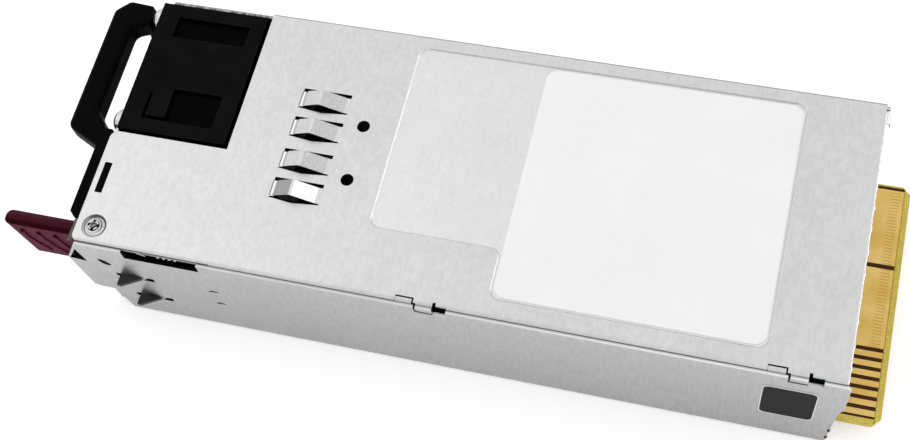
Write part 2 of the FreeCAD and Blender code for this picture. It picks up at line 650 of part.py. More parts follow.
def make_rear_vent_plate():
    """Sheet across the rear above the board edge, pierced by staggered hexagons."""
    low, high = BOARD_TOP + " + 1.2", "case_height - plate - gap - press_depth"
    wall = slab((BOARD_REAR, BOARD_REAR + " + plate"),
                ("plate + gap", "case_width - plate - gap"), (low, high))
    wings = [slab((BOARD_REAR + " - 6.2", BOARD_REAR), (y, y + " + plate"),
                  (low, high + " - 3")) for y in ("plate + gap", "case_width - 2 * plate - gap")]
    holes = []
    rows = int(value("(%s - (%s)) / vent_pitch - 0.4" % (high, low)))
    columns = int(value("case_width / vent_pitch - 2"))
    for row in range(rows):
        shift = 0.25 if row % 2 else -0.25
        for column in range(columns):
            hole = doc.addObject("Part::Prism", "Hexagon")
            hole.Polygon = 6
            hole.Placement = Placement(Vector(), TURNS["x"])
            bind(hole, Circumradius="vent_hole / 2", Height="plate")
            place(hole, BOARD_REAR,
                  "case_width / 2 + (%s) * vent_pitch" % (column - (columns - 1) / 2 + shift),
                  "%s + 1 + vent_hole + %d * vent_pitch" % (low, row))
            holes.append(hole)
    finish(less(together(wall, *wings), *holes), "rear_vent_plate")


def make_handle():
    """One moulding: a loop in front of the fan, a foot, and a bezel round the inlet."""
    body = new_body("Handle")
    outer = "(-gap - plate - handle_reach)"
    inner = outer + " + handle_bar"
    loop = [(BEZEL, "handle_near - 2.4"), (outer + " + handle_slope", "handle_near"),
            (outer, "handle_near + 2.6"), (outer, HANDLE_FAR + " - handle_chamfer"),
            (outer + " + handle_chamfer", HANDLE_FAR),
            (BEZEL + " - 1", HANDLE_FAR + " - 0.4"), (BEZEL, HANDLE_FAR + " - 1.4"),
            (BEZEL, HANDLE_FAR + " - foot_inset - handle_leg"),
            (inner + " + 3.2", HANDLE_FAR + " - 2.2 - handle_leg"),
            (inner, HANDLE_FAR + " - handle_chamfer - handle_leg"),
            (inner, "handle_near + handle_leg + 3.4"),
            (inner + " + 2.4", "handle_near + handle_leg + 0.9"),
            (BEZEL, "handle_near + 2")]
    pad(body, outline(sketch_on(body, "XY_Plane", HANDLE_LOW), loop), "handle_rise")

    def upright(edge):
        at_bar = edge.CenterOfMass.x < -size("bezel_depth") - 3
        return at_bar and lies_at(edge, ALONG_Z)

    def rims(edge):
        free = edge.CenterOfMass.x < value(BEZEL) - 0.01
        levels = (value(HANDLE_LOW), value(HANDLE_LOW + " + handle_rise"))
        flat = edge.BoundBox.ZLength < 0.001
        return free and flat and any(abs(edge.CenterOfMass.z - up) < 0.01 for up in levels)

    soften(body, "Fillet", "handle_round * 1.6", upright)
    soften(body, "Fillet", "handle_round", rims)

    foot = rectangle(sketch_on(body, "XY_Plane", HANDLE_LOW + " - foot_drop"),
                     (BEZEL + " - foot_back + 1.4", FACE),
                     (HANDLE_FAR + " - foot_inset - handle_leg", HANDLE_FAR + " - foot_inset"))
    pad(body, foot, "foot_drop + 2")
    peg = circle(sketch_on(body, "YZ_Plane", FACE), (PEG_Y, PEG_Z), "handle_leg / 2")
    pad(body, peg, "plate - gap / 2")

    bezel = rectangle(sketch_on(body, "YZ_Plane", FACE), ("bezel_near", "bezel_far"),
                      ("bezel_low", "case_height - gap"))
    pad(body, bezel, "bezel_depth", back=True)
    ledge = rectangle(sketch_on(body, "YZ_Plane", FACE), ("ledge_near", "bezel_near"),
                      ("case_height - gap - ledge", "case_height - gap"))
    pad(body, ledge, "bezel_depth", back=True)
    hook = rectangle(sketch_on(body, "XY_Plane", HOOK_LOW),
                     (FACE, "slot_front + slot_length - gap"),
                     ("slot_start + gap", "slot_start + slot_width - gap"))
    pad(body, hook, "hook_thick")
    barb = rectangle(sketch_on(body, "XY_Plane", HOOK_LOW),
                     ("slot_front + gap", "slot_front + slot_length - gap"),
                     ("slot_start + gap", "slot_start + slot_width - gap"))
    pad(body, barb, "hook_thick + plate")
    mouth = rectangle(sketch_on(body, "YZ_Plane", BEZEL),
                      ("inlet_y - inlet_width / 2 - gap", "inlet_y + inlet_width / 2 + gap"),
                      ("inlet_z - inlet_height / 2 - gap", "inlet_z + inlet_height / 2 + gap"))
    pocket(body, mouth, "bezel_depth", back=True)

    def ledge_end(edge):
        return lies_at(edge, ALONG_Z, x=value(BEZEL), y=size("ledge_near"))

    soften(body, "Chamfer", "bezel_depth / 2", ledge_end)
    finish(body, "handle")


# Inlet ----------------------------------------------------------------------------------

def make_inlet():
    """Three-pin appliance inlet with its keyed socket, standing on end."""
    body = new_body("Inlet")
    shell = rectangle(sketch_on(body, "YZ_Plane", INLET_FRONT),
                      ("inlet_y - inlet_width / 2", "inlet_y + inlet_width / 2"),
                      ("inlet_z - inlet_height / 2", "inlet_z + inlet_height / 2"))
    pad(body, shell, "inlet_depth")
    shoulder = rectangle(sketch_on(body, "YZ_Plane", "0"),
                         ("inlet_y - inlet_width / 2", "inlet_y + inlet_width / 2"),
                         ("inlet_z - inlet_height / 2 - inlet_shoulder",
                          "inlet_z + inlet_height / 2 + inlet_shoulder"))
    pad(body, shoulder, "2.2")
    near, far = ("(inlet_y - inlet_width / 2 + inlet_wall)",
                 "(inlet_y + inlet_width / 2 - inlet_wall)")
    low, high = ("(inlet_z - inlet_height / 2 + inlet_wall)",
                 "(inlet_z + inlet_height / 2 - inlet_wall)")
    socket = outline(sketch_on(body, "YZ_Plane", INLET_FRONT), [
        (near, low), (far + " - socket_chamfer", low), (far, low + " + socket_chamfer"),
        (far, high + " - socket_chamfer"), (far + " - socket_chamfer", high), (near, high)])
    pocket(body, socket, "socket_depth", back=True)
    pins = sketch_on(body, "YZ_Plane", SOCKET_BACK)
    for across, up in PIN_PLACES:
        rectangle(pins, (across + " - pin_width / 2", across + " + pin_width / 2"),
                  (up + " - pin_thick / 2", up + " + pin_thick / 2"))
    pocket(body, pins, "inlet_depth - socket_depth", back=True)
    finish(body, "ac_inlet")


def make_inlet_pins():
    pins = [slab((SOCKET_BACK + " - pin_length",
                  INLET_FRONT + " + inlet_depth + tab_length"),
                 (across + " - pin_width / 2", across + " + pin_width / 2"),
                 (up + " - pin_thick / 2", up + " + pin_thick / 2"))
            for across, up in PIN_PLACES]
    finish(together(*pins), "inlet_pins")


def make_inlet_leads():
    """Insulated leads from the inlet's tabs, bent down on to the board."""
    leads = []
    start = "(%s + inlet_depth + tab_length)" % INLET_FRONT
    for number, (across, up) in enumerate(PIN_PLACES):
        turn = "(%s + 3 + %d * 3.4)" % (BOARD_FRONT, number)
        leads.append(rod("x", (start, across, up), "%s - lead_bend - %s" % (turn, start),
                         "lead_diameter"))
        bend = ring("y", (turn + " - lead_bend", across, up + " - lead_bend"),
                    "2 * lead_bend", "lead_diameter")
        corner = slab((turn + " - lead_bend", turn + " + lead_diameter"),
                      (across + " - lead_diameter", across + " + lead_diameter"),
                      (up + " - lead_bend", up + " + lead_diameter"))
        elbow = doc.addObject("Part::Common", "Elbow")
        elbow.Base = bend
        elbow.Tool = corner
        leads.append(elbow)
        leads.append(rod("z", (turn, across, BOARD_TOP),
                         "%s - lead_bend - %s" % (up, BOARD_TOP), "lead_diameter"))
    finish(together(*leads), "inlet_leads")


# Release lever and latch ----------------------------------------------------------------

def make_release_lever():
    """Moulded lever: a ribbed thumb plate outside, an arm and a knuckle inside."""
    body = new_body("ReleaseLever")
    knuckle_low, knuckle_high = "(lug_low + lug + gap)", "(lug_high - gap)"
    side = [("-lever_reach", LEVER_TOP), ("0.4", LEVER_TOP), ("2.2", LEVER_TOP + " - 3.6"),
            ("12", LEVER_TOP + " - 3.6"), ("18", "arm_top"), ("pivot_x - 10", "arm_top"),
            ("pivot_x - 5", knuckle_high), ("pivot_x", knuckle_high),
            ("pivot_x", knuckle_low), ("pivot_x - 5", knuckle_low),
            ("pivot_x - 10", "arm_low"), ("5", "arm_low"), ("0.6", LEVER_LOW),
            ("-lever_reach + lever_slant", LEVER_LOW)]
    pad(body, outline(wall_sketch(body, "lever_y"), side), "lever_thick", back=True)

    def outer_end(edge):
        return abs(edge.CenterOfMass.x + size("lever_reach") - size("lever_slant") / 2) < 0.3 \
            and edge.Length > 10

    soften(body, "Fillet", "lever_thick * 0.42", outer_end)

    barrel = circle(sketch_on(body, "XY_Plane", knuckle_low), ("pivot_x", "pivot_y"),
                    "2 * knuckle")
    pad(body, barrel, "%s - %s" % (knuckle_high, knuckle_low))
    bore = circle(sketch_on(body, "XY_Plane", knuckle_low), ("pivot_x", "pivot_y"),
                  "pivot_pin + 2 * pivot_play")
    pocket(body, bore, "%s - %s" % (knuckle_high, knuckle_low), back=True)
    holes = wall_sketch(body, "lever_y")
    for across, up in RIVET_PLACES:
        circle(holes, (across, up), "rivet_diameter")
    pocket(body, holes, "lever_thick")

    # three grip ribs that lean with the outer end of the thumb plate
    for number in range(3):
        start = "-lever_reach + 4 + %d * rib_pitch" % number
        rib = outline(wall_sketch(body, "lever_y - rib_depth"), [
            (start, LEVER_TOP + " - 2.4"), (start + " + rib_width", LEVER_TOP + " - 2.4"),
            (start + " + rib_width + 0.5", LEVER_TOP + " - 6"),
            (start + " + rib_width + 2.1", LEVER_TOP + " - 9.5"),
            (start + " + rib_width + 4.4", LEVER_TOP + " - 12.6"),
            (start + " + 4.4", LEVER_TOP + " - 12.6"), (start + " + 1.9", LEVER_TOP + " - 9.2"),
            (start + " + 0.4", LEVER_TOP + " - 6")])
        pad(body, rib, "rib_depth", back=True)
    finish(body, "release_lever")


def make_latch_plate():
    """Steel plate riveted to the lever, with two teeth turned out through the wall."""
    body = new_body("LatchPlate")
    near = "lever_y - latch_plate"
    face = [("6", "latch_low"), ("tooth_x + 12", "latch_low"), ("pivot_x - 5", "lug_low"),
            ("pivot_x - 5", "lug_high"), ("pivot_x - 9", "latch_high"), ("6", "latch_high")]
    pad(body, outline(wall_sketch(body, near), face), "latch_plate", back=True)
    for level, start in (("tooth_high", "tooth_x"), ("tooth_low", "tooth_x + tooth_shift")):
        tooth = outline(sketch_on(body, "XY_Plane", level + " - tooth_thick / 2"), [
            (start, near), (start, "-tooth_reach"), (start + " + 0.9", "-tooth_reach"),
            (start + " + tooth_length", "plate / 2"), (start + " + tooth_length", near)])
        pad(body, tooth, "tooth_thick")
    holes = wall_sketch(body, near)
    for across, up in RIVET_PLACES:
        circle(holes, (across, up), "rivet_diameter")
    pocket(body, holes, "latch_plate")
    finish(body, "latch_plate")


def make_latch_rivets():
    rivets = []
    for across, up in RIVET_PLACES:
        near = "(lever_y - latch_plate)"
        rivets.append(together(
            rod("y", (across, near, up), "latch_plate + lever_thick", "rivet_diameter"),
            rod("y", (across, near + " - rivet_depth", up), "rivet_depth", "rivet_head"),
            rod("y", (across, "lever_y + lever_thick", up), "rivet_depth", "rivet_head")))
    finish(together(*rivets), "latch_rivets")


def make_latch_pin():
    low = "(lug_low - 0.8)"
    pin = rod("z", ("pivot_x", "pivot_y", low), "lug_high + lug + 4.6 - %s" % low, "pivot_pin")
    head = rod("z", ("pivot_x", "pivot_y", "lug_high + lug + 4.6"), "0.7", "1.7 * pivot_pin")
    finish(together(pin, head), "latch_pin")


def bar(start, run, half):
    """A straight bar of square section, its sides upright or level."""
    across = ALONG_Y if abs(run.z) > abs(run.x) + abs(run.y) else ALONG_Z
    side = run.cross(across).normalize() * half
    up = run.cross(side).normalize() * half
    corners = [start + side + up, start + side - up, start - side - up, start - side + up]
    return Part.Face(Part.makePolygon(corners + corners[:1])).extrude(run)


def make_latch_spring():
    """Torsion spring on the pin: one leg hooks the arm, the other hooks the lug."""
    half = size("spring_wire") / 2
    middle = size("pivot_pin") / 2 + half + 0.35
    pitch = size("spring_wire") * 1.25
    rise = pitch * size("spring_turns")
    coil = Part.makeHelix(pitch, rise, middle)
    corners = [Vector(middle + x * half, 0, z * half)
               for x, z in ((-1, -1), (1, -1), (1, 1), (-1, 1), (-1, -1))]
    wound = Part.Wire(coil.Edges).makePipeShell([Part.makePolygon(corners)], True, True)
    wound.rotate(Vector(), ALONG_Z, 90)
    arm_face = value("lever_y + lever_thick - pivot_y")
    bend = Vector(-size("knuckle") - 9, arm_face + 1.5 * half, rise)
    top = Vector(-0.05, middle, rise)
    back = Vector(size("knuckle") + 0.1, middle, 0)
    down = Vector(0, 0, -2.4)
    legs = [bar(top, bend - top, half), bar(bend - down.normalize() * half, down * 2.7, half),
            bar(Vector(0.05, middle, 0), back - Vector(0.05, middle, 0), half),
            bar(back - down * half, down * 1.8, half)]
    spring = doc.addObject("Part::Feature", "LatchSpring")
    spring.Shape = Part.makeCompound([wound, legs[0].fuse(legs[1]), legs[2].fuse(legs[3])])
    finish(spring, "latch_spring", "pivot_x", "pivot_y",
           "lug_high + lug + spring_wire / 2 + 0.1")


# Fan ------------------------------------------------------------------------------------

def fan_block(x, depth):
    """A block as wide and high as the fan, from x along the case."""
    return slab((x, "%s + (%s)" % (x, depth)),
                ("%s - %s / 2" % (FAN_Y, FAN_WIDTH), "%s + %s / 2" % (FAN_Y, FAN_WIDTH)),
                ("fan_play", "case_height - fan_play"))


def fan_part(x, depth, half_width, half_height):
    """A block centred on the fan's axis."""
    y, z = FAN_AXIS
    return slab((x, "%s + (%s)" % (x, depth)),
                ("%s - (%s)" % (y, half_width), "%s + (%s)" % (y, half_width)),
                ("%s - (%s)" % (z, half_height), "%s + (%s)" % (z, half_height)))


def corner_holes(x, depth, diameter):
    return [rod("x", (x,) + fan_hole(side, level), depth, diameter)
            for side in (-1, 1) for level in (-1, 1)]


def make_fan_gasket():
    start = "-gap"
    finish(less(fan_block(start, "gasket"),
                rod("x", (start,) + FAN_AXIS, "gasket", FAN_BORE),
                *corner_holes(start, "gasket", "fan_hole")), "fan_gasket")


def make_fan_frame():
    """Square venturi with moulded recesses, a motor base on four struts, a bearing tube."""
    recesses = []
    far_side = FAN_Y + " + %s / 2" % FAN_WIDTH
    near_side = FAN_Y + " - %s / 2" % FAN_WIDTH
    fields = [(("gasket + 3.8", FAN_BACK + " - 3.8"), (far_side + " - 9.9", far_side + " - 3.7")),
              (("gasket + 9.8", FAN_BACK + " - 4.6"), (near_side + " + 3.7", FAN_Y + " - 5.8")),
              (("gasket + 3.6", "gasket + 4.6"), (near_side + " + 3.7", FAN_Y + " - 7.6")),
              (("gasket + 3.6", "gasket + 9.8"), (near_side + " + 3.7", near_side + " + 4.9"))]
    for field_x, field_y in fields:
        for heights in (("fan_play", "fan_play + fan_recess"),
                        ("case_height - fan_play - fan_recess", "case_height - fan_play")):
            recesses.append(slab(field_x, field_y, heights))
    shell = less(fan_block(FAN_FRONT, "fan_depth"),
                 rod("x", (FAN_FRONT,) + FAN_AXIS, "fan_depth", FAN_BORE),
                 *(corner_holes(FAN_FRONT, "fan_depth", "screw_core") + recesses))
    start = FAN_BACK + " - base_thick"
    base = rod("x", (start,) + FAN_AXIS, "base_thick", "hub_diameter + 1")
    reach, half = FAN_BORE + " / 2 + 0.4", "strut_width / 2"
    struts = [fan_part(start, "base_thick", reach, half),
              fan_part(start, "base_thick", half, reach)]
    tube = rod("x", (FAN_FRONT + " + 7.5",) + FAN_AXIS, "fan_depth - 7.5", "tube_diameter")
    bore = rod("x", (FAN_FRONT + " + 7.5",) + FAN_AXIS, "fan_depth - 8.5",
               "bearing_diameter")
    finish(less(together(shell, base, tube, *struts), bore), "fan_frame")


def make_fan_bearings():
    places = [FAN_FRONT + " + 8", FAN_BACK + " - 1.2 - bearing_width"]
    finish(together(*[less(rod("x", (x,) + FAN_AXIS, "bearing_width", "bearing_diameter"),
                           rod("x", (x,) + FAN_AXIS, "bearing_width",
                               "shaft_diameter + 2 * shaft_play"))
                      for x in places]), "fan_bearings")


def make_fan_stator():
    """Laminated ring with four wound poles round the bearing tube."""
    start = FAN_FRONT + " + 10"
    core = rod("x", (start,) + FAN_AXIS, "stator_length", "stator_diameter")
    y, z = FAN_AXIS
    slots = [slab((start, start + " + stator_length"),
                  ("%s + (%s)" % (y, y0), "%s + (%s)" % (y, y1)),
                  ("%s + (%s)" % (z, z0), "%s + (%s)" % (z, z1)))
             for y0, y1, z0, z1 in (
                 ("tube_diameter / 2 + 1", "stator_diameter", "-0.6", "0.6"),
                 ("-stator_diameter", "-tube_diameter / 2 - 1", "-0.6", "0.6"),
                 ("-0.6", "0.6", "tube_diameter / 2 + 1", "stator_diameter"),
                 ("-0.6", "0.6", "-stator_diameter", "-tube_diameter / 2 - 1"))]
    finish(less(core, rod("x", (start,) + FAN_AXIS, "stator_length", "tube_diameter"),
                *slots), "fan_stator")


def make_fan_rotor():
    """Hub cup with swept, twisted blades: each blade is lofted from root to tip."""
    hub = size("hub_diameter") / 2
    cup = hub - size("hub_wall")
    tip = value(FAN_BORE + " / 2 - blade_play")
    length = size("hub_length")
    blade_front, blade_back = 0.8, length - 0.6

    def section(radius, lean, bow):
        """A thin cambered section across the blade, on a plane at a radius."""
        run = blade_back - blade_front
        swing = run * math.tan(math.radians(lean)) / 2
        half = size("blade_thick") / 2
        ends = [Vector(blade_front, -swing, radius), Vector(blade_back, swing, radius)]
        middle = (ends[0] + ends[1]) / 2
        high = Part.Arc(ends[0] + Vector(0, half / 2, 0), middle + Vector(0, bow + half, 0),
                        ends[1] + Vector(0, half / 2, 0)).toShape()
        low = Part.Arc(ends[0] - Vector(0, half / 2, 0), middle + Vector(0, bow - half, 0),
                       ends[1] - Vector(0, half / 2, 0)).toShape()
        caps = [Part.makeLine(ends[k] + Vector(0, half / 2, 0),
                              ends[k] - Vector(0, half / 2, 0)) for k in (0, 1)]
        return Part.Wire(Part.__sortEdges__([high, caps[0], low, caps[1]]))

    twist = size("blade_twist")
    blade = Part.makeLoft([section(hub - 0.8, twist, 1.6),
                           section((hub + tip) / 2, twist + 8, 1.9),
                           section(tip + 1.5, twist + 14, 2.2)], True)
    envelope = Part.makeCylinder(tip, length, Vector(), ALONG_X)
    core = Part.makeCylinder(hub - 0.6, length, Vector(), ALONG_X)
    blade = blade.common(envelope).cut(core)
    count = int(size("blade_count"))
    blades = []
    for number in range(count):
        copy = blade.copy()
        copy.rotate(Vector(), ALONG_X, 360 * number / count)
        blades.append(copy)
    shell = Part.makeCylinder(hub, length, Vector(), ALONG_X)
    shell = shell.makeFillet(size("hub_wall"), [edge for edge in shell.Edges
                                                if abs(edge.CenterOfMass.x) < 0.01
                                                and edge.Closed])
    solid = shell.fuse(blades)
    hollow = Part.makeCylinder(cup, length, Vector(size("hub_wall"), 0, 0), ALONG_X)
    boss = Part.makeCylinder(size("shaft_diameter"), size("hub_wall") + 3, Vector(), ALONG_X)
    bore = Part.makeCylinder(size("shaft_diameter") / 2, length, Vector(0.6, 0, 0), ALONG_X)
    solid = solid.cut(hollow).fuse(boss).cut(bore)
    rotor = doc.addObject("Part::Feature", "FanRotor")
    rotor.Shape = solid.removeSplitter()
    finish(rotor, "fan_rotor", FAN_FRONT + " + 2", *FAN_AXIS)


def make_fan_shaft():
    """Shaft pressed into the hub, with a groove for its snap ring behind the rear bearing."""
    shaft = rod("x", (FAN_FRONT + " + 2.6",) + FAN_AXIS, "fan_depth - 4", "shaft_diameter")
    slot = groove("x", (FAN_BACK + " - 1.1",) + FAN_AXIS, "0.4", "shaft_diameter + 1",
                  "shaft_diameter - 0.6")
    finish(less(shaft, slot), "fan_shaft")


def make_fan_screws():
    """Pan-head screws through the front plate and gasket into the fan's corners."""
    screws = []
    for side in (-1, 1):
        for level in (-1, 1):
            across, up = fan_hole(side, level)
            shank = rod("x", (FACE, across, up), "fan_screw_length", "screw_core")
            dome = doc.addObject("Part::Sphere", "PanDome")
            dome.Placement = Placement(Vector(), TURNS["x"])
            bind(dome, Radius="pan_head * 0.62")
            place(dome, "%s - pan_depth + pan_head * 0.62" % FACE, across, up)
            keep = rod("x", (FACE + " - pan_depth", across, up), "pan_depth", "pan_head")
            head = doc.addObject("Part::Common", "PanHead")
            head.Base = dome
            head.Tool = keep
            deep = (FACE + " - pan_depth", FACE + " - pan_depth + 1.2")
            cross = [slab(deep, ("%s - %s" % (across, a), "%s + %s" % (across, a)),
                          ("%s - %s" % (up, b), "%s + %s" % (up, b)))
                     for a, b in (("1.2", "0.3"), ("0.3", "1.2"))]
            screws.append(less(together(shank, head), *cross))
    finish(together(*screws), "fan_screws")


# Board and what stands on it --------------------------------------------------------------

def station(share):
    """A place along the board, in tenths of its length inside the case."""
    return "(%s + %s * (%s - %s) / 10)" % (BOARD_FRONT, share, BOARD_REAR, BOARD_FRONT)


def screw_places():
    """The board's six screws: three along each edge."""
    near = "board_margin + plate + screw_inset"
    far = "case_width - board_margin - plate - screw_inset"
    return [(x, y) for x in (BOARD_FRONT + " + 7", station(5.4), BOARD_REAR + " - 7.2")
            for y in (near, far)]


def on_board(x, y, height, low="0"):
    """A block that stands on the board between formulas on X and Y."""
    return slab(x, y, ("%s + (%s)" % (BOARD_TOP, low), "%s + (%s)" % (BOARD_TOP, height)))


def make_main_board():
    body = new_body("MainBoard")
    near, far = "board_margin + plate", "case_width - board_margin - plate"
    rear = BOARD_REAR + " - 0.4"
    tip = "case_length + tongue"
    pad(body, outline(sketch_on(body, "XY_Plane", BOARD_LOW), [
        (BOARD_FRONT, near), (rear, near), (rear, "tongue_near"),
        (tip + " - tongue_chamfer", "tongue_near"),
        (tip, "tongue_near + tongue_chamfer"), (tip, TONGUE_FAR + " - tongue_chamfer"),
        (tip + " - tongue_chamfer", TONGUE_FAR), (rear, TONGUE_FAR), (rear, far),
        (BOARD_FRONT, far)]), "board_thick")
    holes = sketch_on(body, "XY_Plane", BOARD_LOW)
    for place_on_board in screw_places():
        circle(holes, place_on_board, "screw_core + screw_play")
    pocket(body, holes, "board_thick", back=True)
    finish(body, "main_board")


def contacts(places):
    """Gold pads on both faces of the tongue, up to just short of its tip."""
    pads = []
    for low, high in places:
        for z in (BOARD_TOP, BOARD_LOW + " - contact_thick"):
            pads.append(slab(("case_length - rear_lip", "case_length + tongue - contact_back"),
                             (low, high), (z, z + " + contact_thick")))
    return together(*pads)


def make_power_contacts():
    finish(contacts([("power_start", "power_split - power_gap / 2"),
                     ("power_split + power_gap / 2", TONGUE_FAR + " - power_edge")]),
           "power_contacts")


def make_signal_contacts():
    places = []
    for number in range(int(size("signal_count"))):
        high = "(power_start - signal_pitch + signal_width - %d * signal_pitch)" % number
        places.append((high + " - signal_width", high))
    finish(contacts(places), "signal_contacts")


def make_insulating_sheet():
    sheet_box = slab((BOARD_FRONT, BOARD_REAR + " - 1"),
                     ("board_margin + plate", "case_width - board_margin - plate"),
                     ("plate", "plate + sheet_thick"))
    holes = [rod("z", (x, y, "plate"), "sheet_thick", "standoff + 2 * gap")
             for x, y in screw_places()]
    finish(less(sheet_box, *holes), "insulating_sheet")


def make_board_standoffs():
    posts = [less(rod("z", (x, y, "plate"), "standoff_height", "standoff"),
                  rod("z", (x, y, "plate"), "standoff_height", "screw_core"))
             for x, y in screw_places()]
    finish(together(*posts), "board_standoffs")


def make_board_screws():
    screws = []
    for x, y in screw_places():
        head = rod("z", (x, y, BOARD_TOP), "board_screw_depth", "board_screw_head")
        shank = rod("z", (x, y, "plate + 0.2"), BOARD_TOP + " - plate - 0.2", "screw_core")
        slot = on_board((x + " - 1.3", x + " + 1.3"), (y + " - 0.3", y + " + 0.3"),
                        "board_screw_depth", "board_screw_depth / 2")
        screws.append(less(together(head, shank), slot))
    finish(together(*screws), "board_screws")


def make_light():
    """Light pipe from the front plate to the status light on the board's front edge."""
    height = BOARD_TOP + " + pipe_rise"
    pipe = together(rod("x", (FACE + " - pipe_proud", "pipe_y", height),
                        "%s - %s + pipe_proud - 0.1" % (BOARD_FRONT, FACE), "pipe_diameter"),
                    rod("x", ("0", "pipe_y", height), "1", "pipe_diameter + 1.2"))
    finish(pipe, "light_pipe")
    lamp = together(rod("x", (BOARD_FRONT, "pipe_y", height), "led_length", "3"),
                    on_board((BOARD_FRONT + " + 1", BOARD_FRONT + " + led_length"),
                             ("pipe_y - 1.6", "pipe_y + 1.6"), "pipe_rise"))
    finish(lamp, "status_light")


def toroid(axis, centre, outer, inner, width):
    """A ring core: a cylinder with a round hole along its axis."""
    x, y, z = centre
    start = {"y": (x, "%s - (%s) / 2" % (y, width), z),
             "z": (x, y, "%s - (%s) / 2" % (z, width))}[axis]
    return less(rod(axis, start, width, outer), rod(axis, start, width, inner))


def make_fuse():
    """Glass-size fuse along the case, its end caps standing on two clips."""
    height = BOARD_TOP + " + fuse_cap + 0.4 + fuse_diameter / 2"
    start = BOARD_FRONT + " + fuse_x"
    parts = [rod("x", (start, "fuse_y", height), "fuse_length", "fuse_diameter")]
    for x in (start + " - 1", start + " + fuse_length - 4"):
        parts.append(rod("x", (x, "fuse_y", height), "5", "fuse_diameter + 2 * fuse_cap"))
        parts.append(on_board((x + " + 1", x + " + 3"), ("fuse_y - 1.5", "fuse_y + 1.5"), "2"))
    finish(together(*parts), "fuse")


def make_relay():
    far = "case_width - board_margin - plate - 2.3"
    start = BOARD_FRONT + " + relay_x"
    finish(on_board((start, start + " + relay_length"), (far + " - relay_width", far),
                    "relay_height"), "relay")


def make_filter_capacitors():
    start = BOARD_FRONT + " + film_x"
    boxes = [on_board((start, start + " + film_length"), (y, y + " + film_width"),
                      "film_height")
             for y in ("film_near", "case_width - film_inset - film_width")]
    finish(together(*boxes), "x_capacitors")
    discs = []
    middle = station(2.78)
    for number in range(2):
        y = "(disc_near + %d * disc_pitch)" % number
        legs = [on_board((middle + a, middle + b), (y + " + 1", y + " + 2"), "4")
                for a, b in ((" - 2.6", " - 1.6"), (" + 1.6", " + 2.6"))]
        disc = rod("y", (middle, y, BOARD_TOP + " + 2.15 + disc_diameter / 2"), "disc_thick",
                   "disc_diameter")
        discs.append(together(disc, *legs))
    finish(together(*discs), "y_capacitors")


def make_filter_chokes():
    """Two upright ring cores, each with a winding on either side that stands on legs."""
    cores, coils = [], []
    for share, number in ((1.61, 0), (2.88, 1)):
        x, y = station(share), "(ring_near + %d * ring_pitch)" % number
        z = BOARD_TOP + " + ring_outer / 2 + ring_wire + 1.2"
        core = ("ring_outer", "ring_inner", "ring_thick")
        cores.append(toroid("y", (x, y, z), *core))
        thick = toroid("y", (x, y, z), "ring_outer + 2 * ring_wire",
                       "ring_inner - 2 * ring_wire + 0.4", "ring_thick + 2 * ring_wire")
        sides = [on_board(span_x, (y + " - ring_thick", y + " + ring_thick"), "ring_outer + 6")
                 for span_x in ((x + " - ring_outer", x + " - 2.2"),
                                (x + " + 2.2", x + " + ring_outer"))]
        halves = doc.addObject("Part::Common", "Halves")
        halves.Base = less(thick, toroid("y", (x, y, z), *core))
        halves.Tool = together(*sides)
        legs = [on_board((x + a, x + b), (y + " - 1.5", y + " + 1.5"), "2.8")
                for a, b in ((" - 5", " - 3.6"), (" + 3.6", " + 5"))]
        coils.append(together(halves, *legs))
    finish(together(*cores), "filter_choke_cores")
    finish(together(*coils), "filter_choke_windings")


def make_boost_choke():
    """Large ring core lying flat on a base, wound all round except for a gap."""
    x = station(4.2)
    centre = (x, "boost_y", BOARD_TOP + " + 1.7 + boost_wire + boost_thick / 2")
    core = ("boost_outer", "boost_inner", "boost_thick")
    finish(toroid("z", centre, *core), "boost_choke_core")
    around = toroid("z", centre, "boost_outer + 2 * boost_wire", "boost_inner - 2 * boost_wire",
                    "boost_thick + 2 * boost_wire")
    gap_in_wire = on_board((x, x + " + boost_outer"), ("boost_y - 2", "boost_y + 2"),
                           "boost_thick + 8", "1.7")
    base = less(on_board((x + " - 12", x + " + 12"), ("boost_y - 12", "boost_y + 12"), "1.7"),
                rod("z", (x, "boost_y", BOARD_TOP), "1.7", "boost_inner - 2 * boost_wire"))
    finish(together(less(around, toroid("z", centre, *core), gap_in_wire), base),
           "boost_choke_winding")


def sink(front, back):
    """An upright web on the board with a row of fins towards the case's far wall."""
    height = "case_height - %s - sink_clear" % BOARD_TOP
    parts = [on_board((front, back), (WEB_Y, WEB_Y + " + web_thick"), height)]
    for number in range(int(value("(%s - 4) / fin_pitch" % height))):
        low = "4 + %d * fin_pitch" % number
        parts.append(on_board((front, back), (WEB_Y + " + web_thick",
                                              WEB_Y + " + web_thick + fin_reach"),
                              low + " + fin_thick", low))
    return together(*parts)


def make_heat_sinks():
    finish(sink(station(3.1), station(6.7)), "primary_heat_sink")
    finish(sink(station(7.5), station(9.2)), "secondary_heat_sink")


def package(x):
    """A power transistor bolted flat against a heat sink's web, on three pins."""
    face = WEB_Y + " - package_thick"
    tab = WEB_Y + " - package_tab"
    end = x + " + package_width"
    pins = [on_board((x + " + %s" % a, x + " + %s + 1.2" % a),
                     (face + " + 2", face + " + 2.8"), "6") for a in (1.6, 4.4, 7.2)]
    return together(on_board((x, end), (face, tab), "15", "6"),
                    on_board((x, end), (tab, WEB_Y), "21", "6"), *pins)


def make_power_transistors():
    finish(together(*[package(x) for x in (station(4.72), station(4.72) + " + 11",
                                           station(7.57), station(8.4))]),
           "power_transistors")


def make_bridge_rectifier():
    start = station(3.15)
    pins = [on_board((start + " + %s" % x, start + " + %s + 1.2" % x),
                     (WEB_Y + " - 2.5", WEB_Y + " - 1.5"), "5") for x in (2, 7, 12, 16)]
    body = on_board((start, start + " + 19"), (WEB_Y + " - 4", WEB_Y), "20", "5")
    finish(together(body, *pins), "bridge_rectifier")


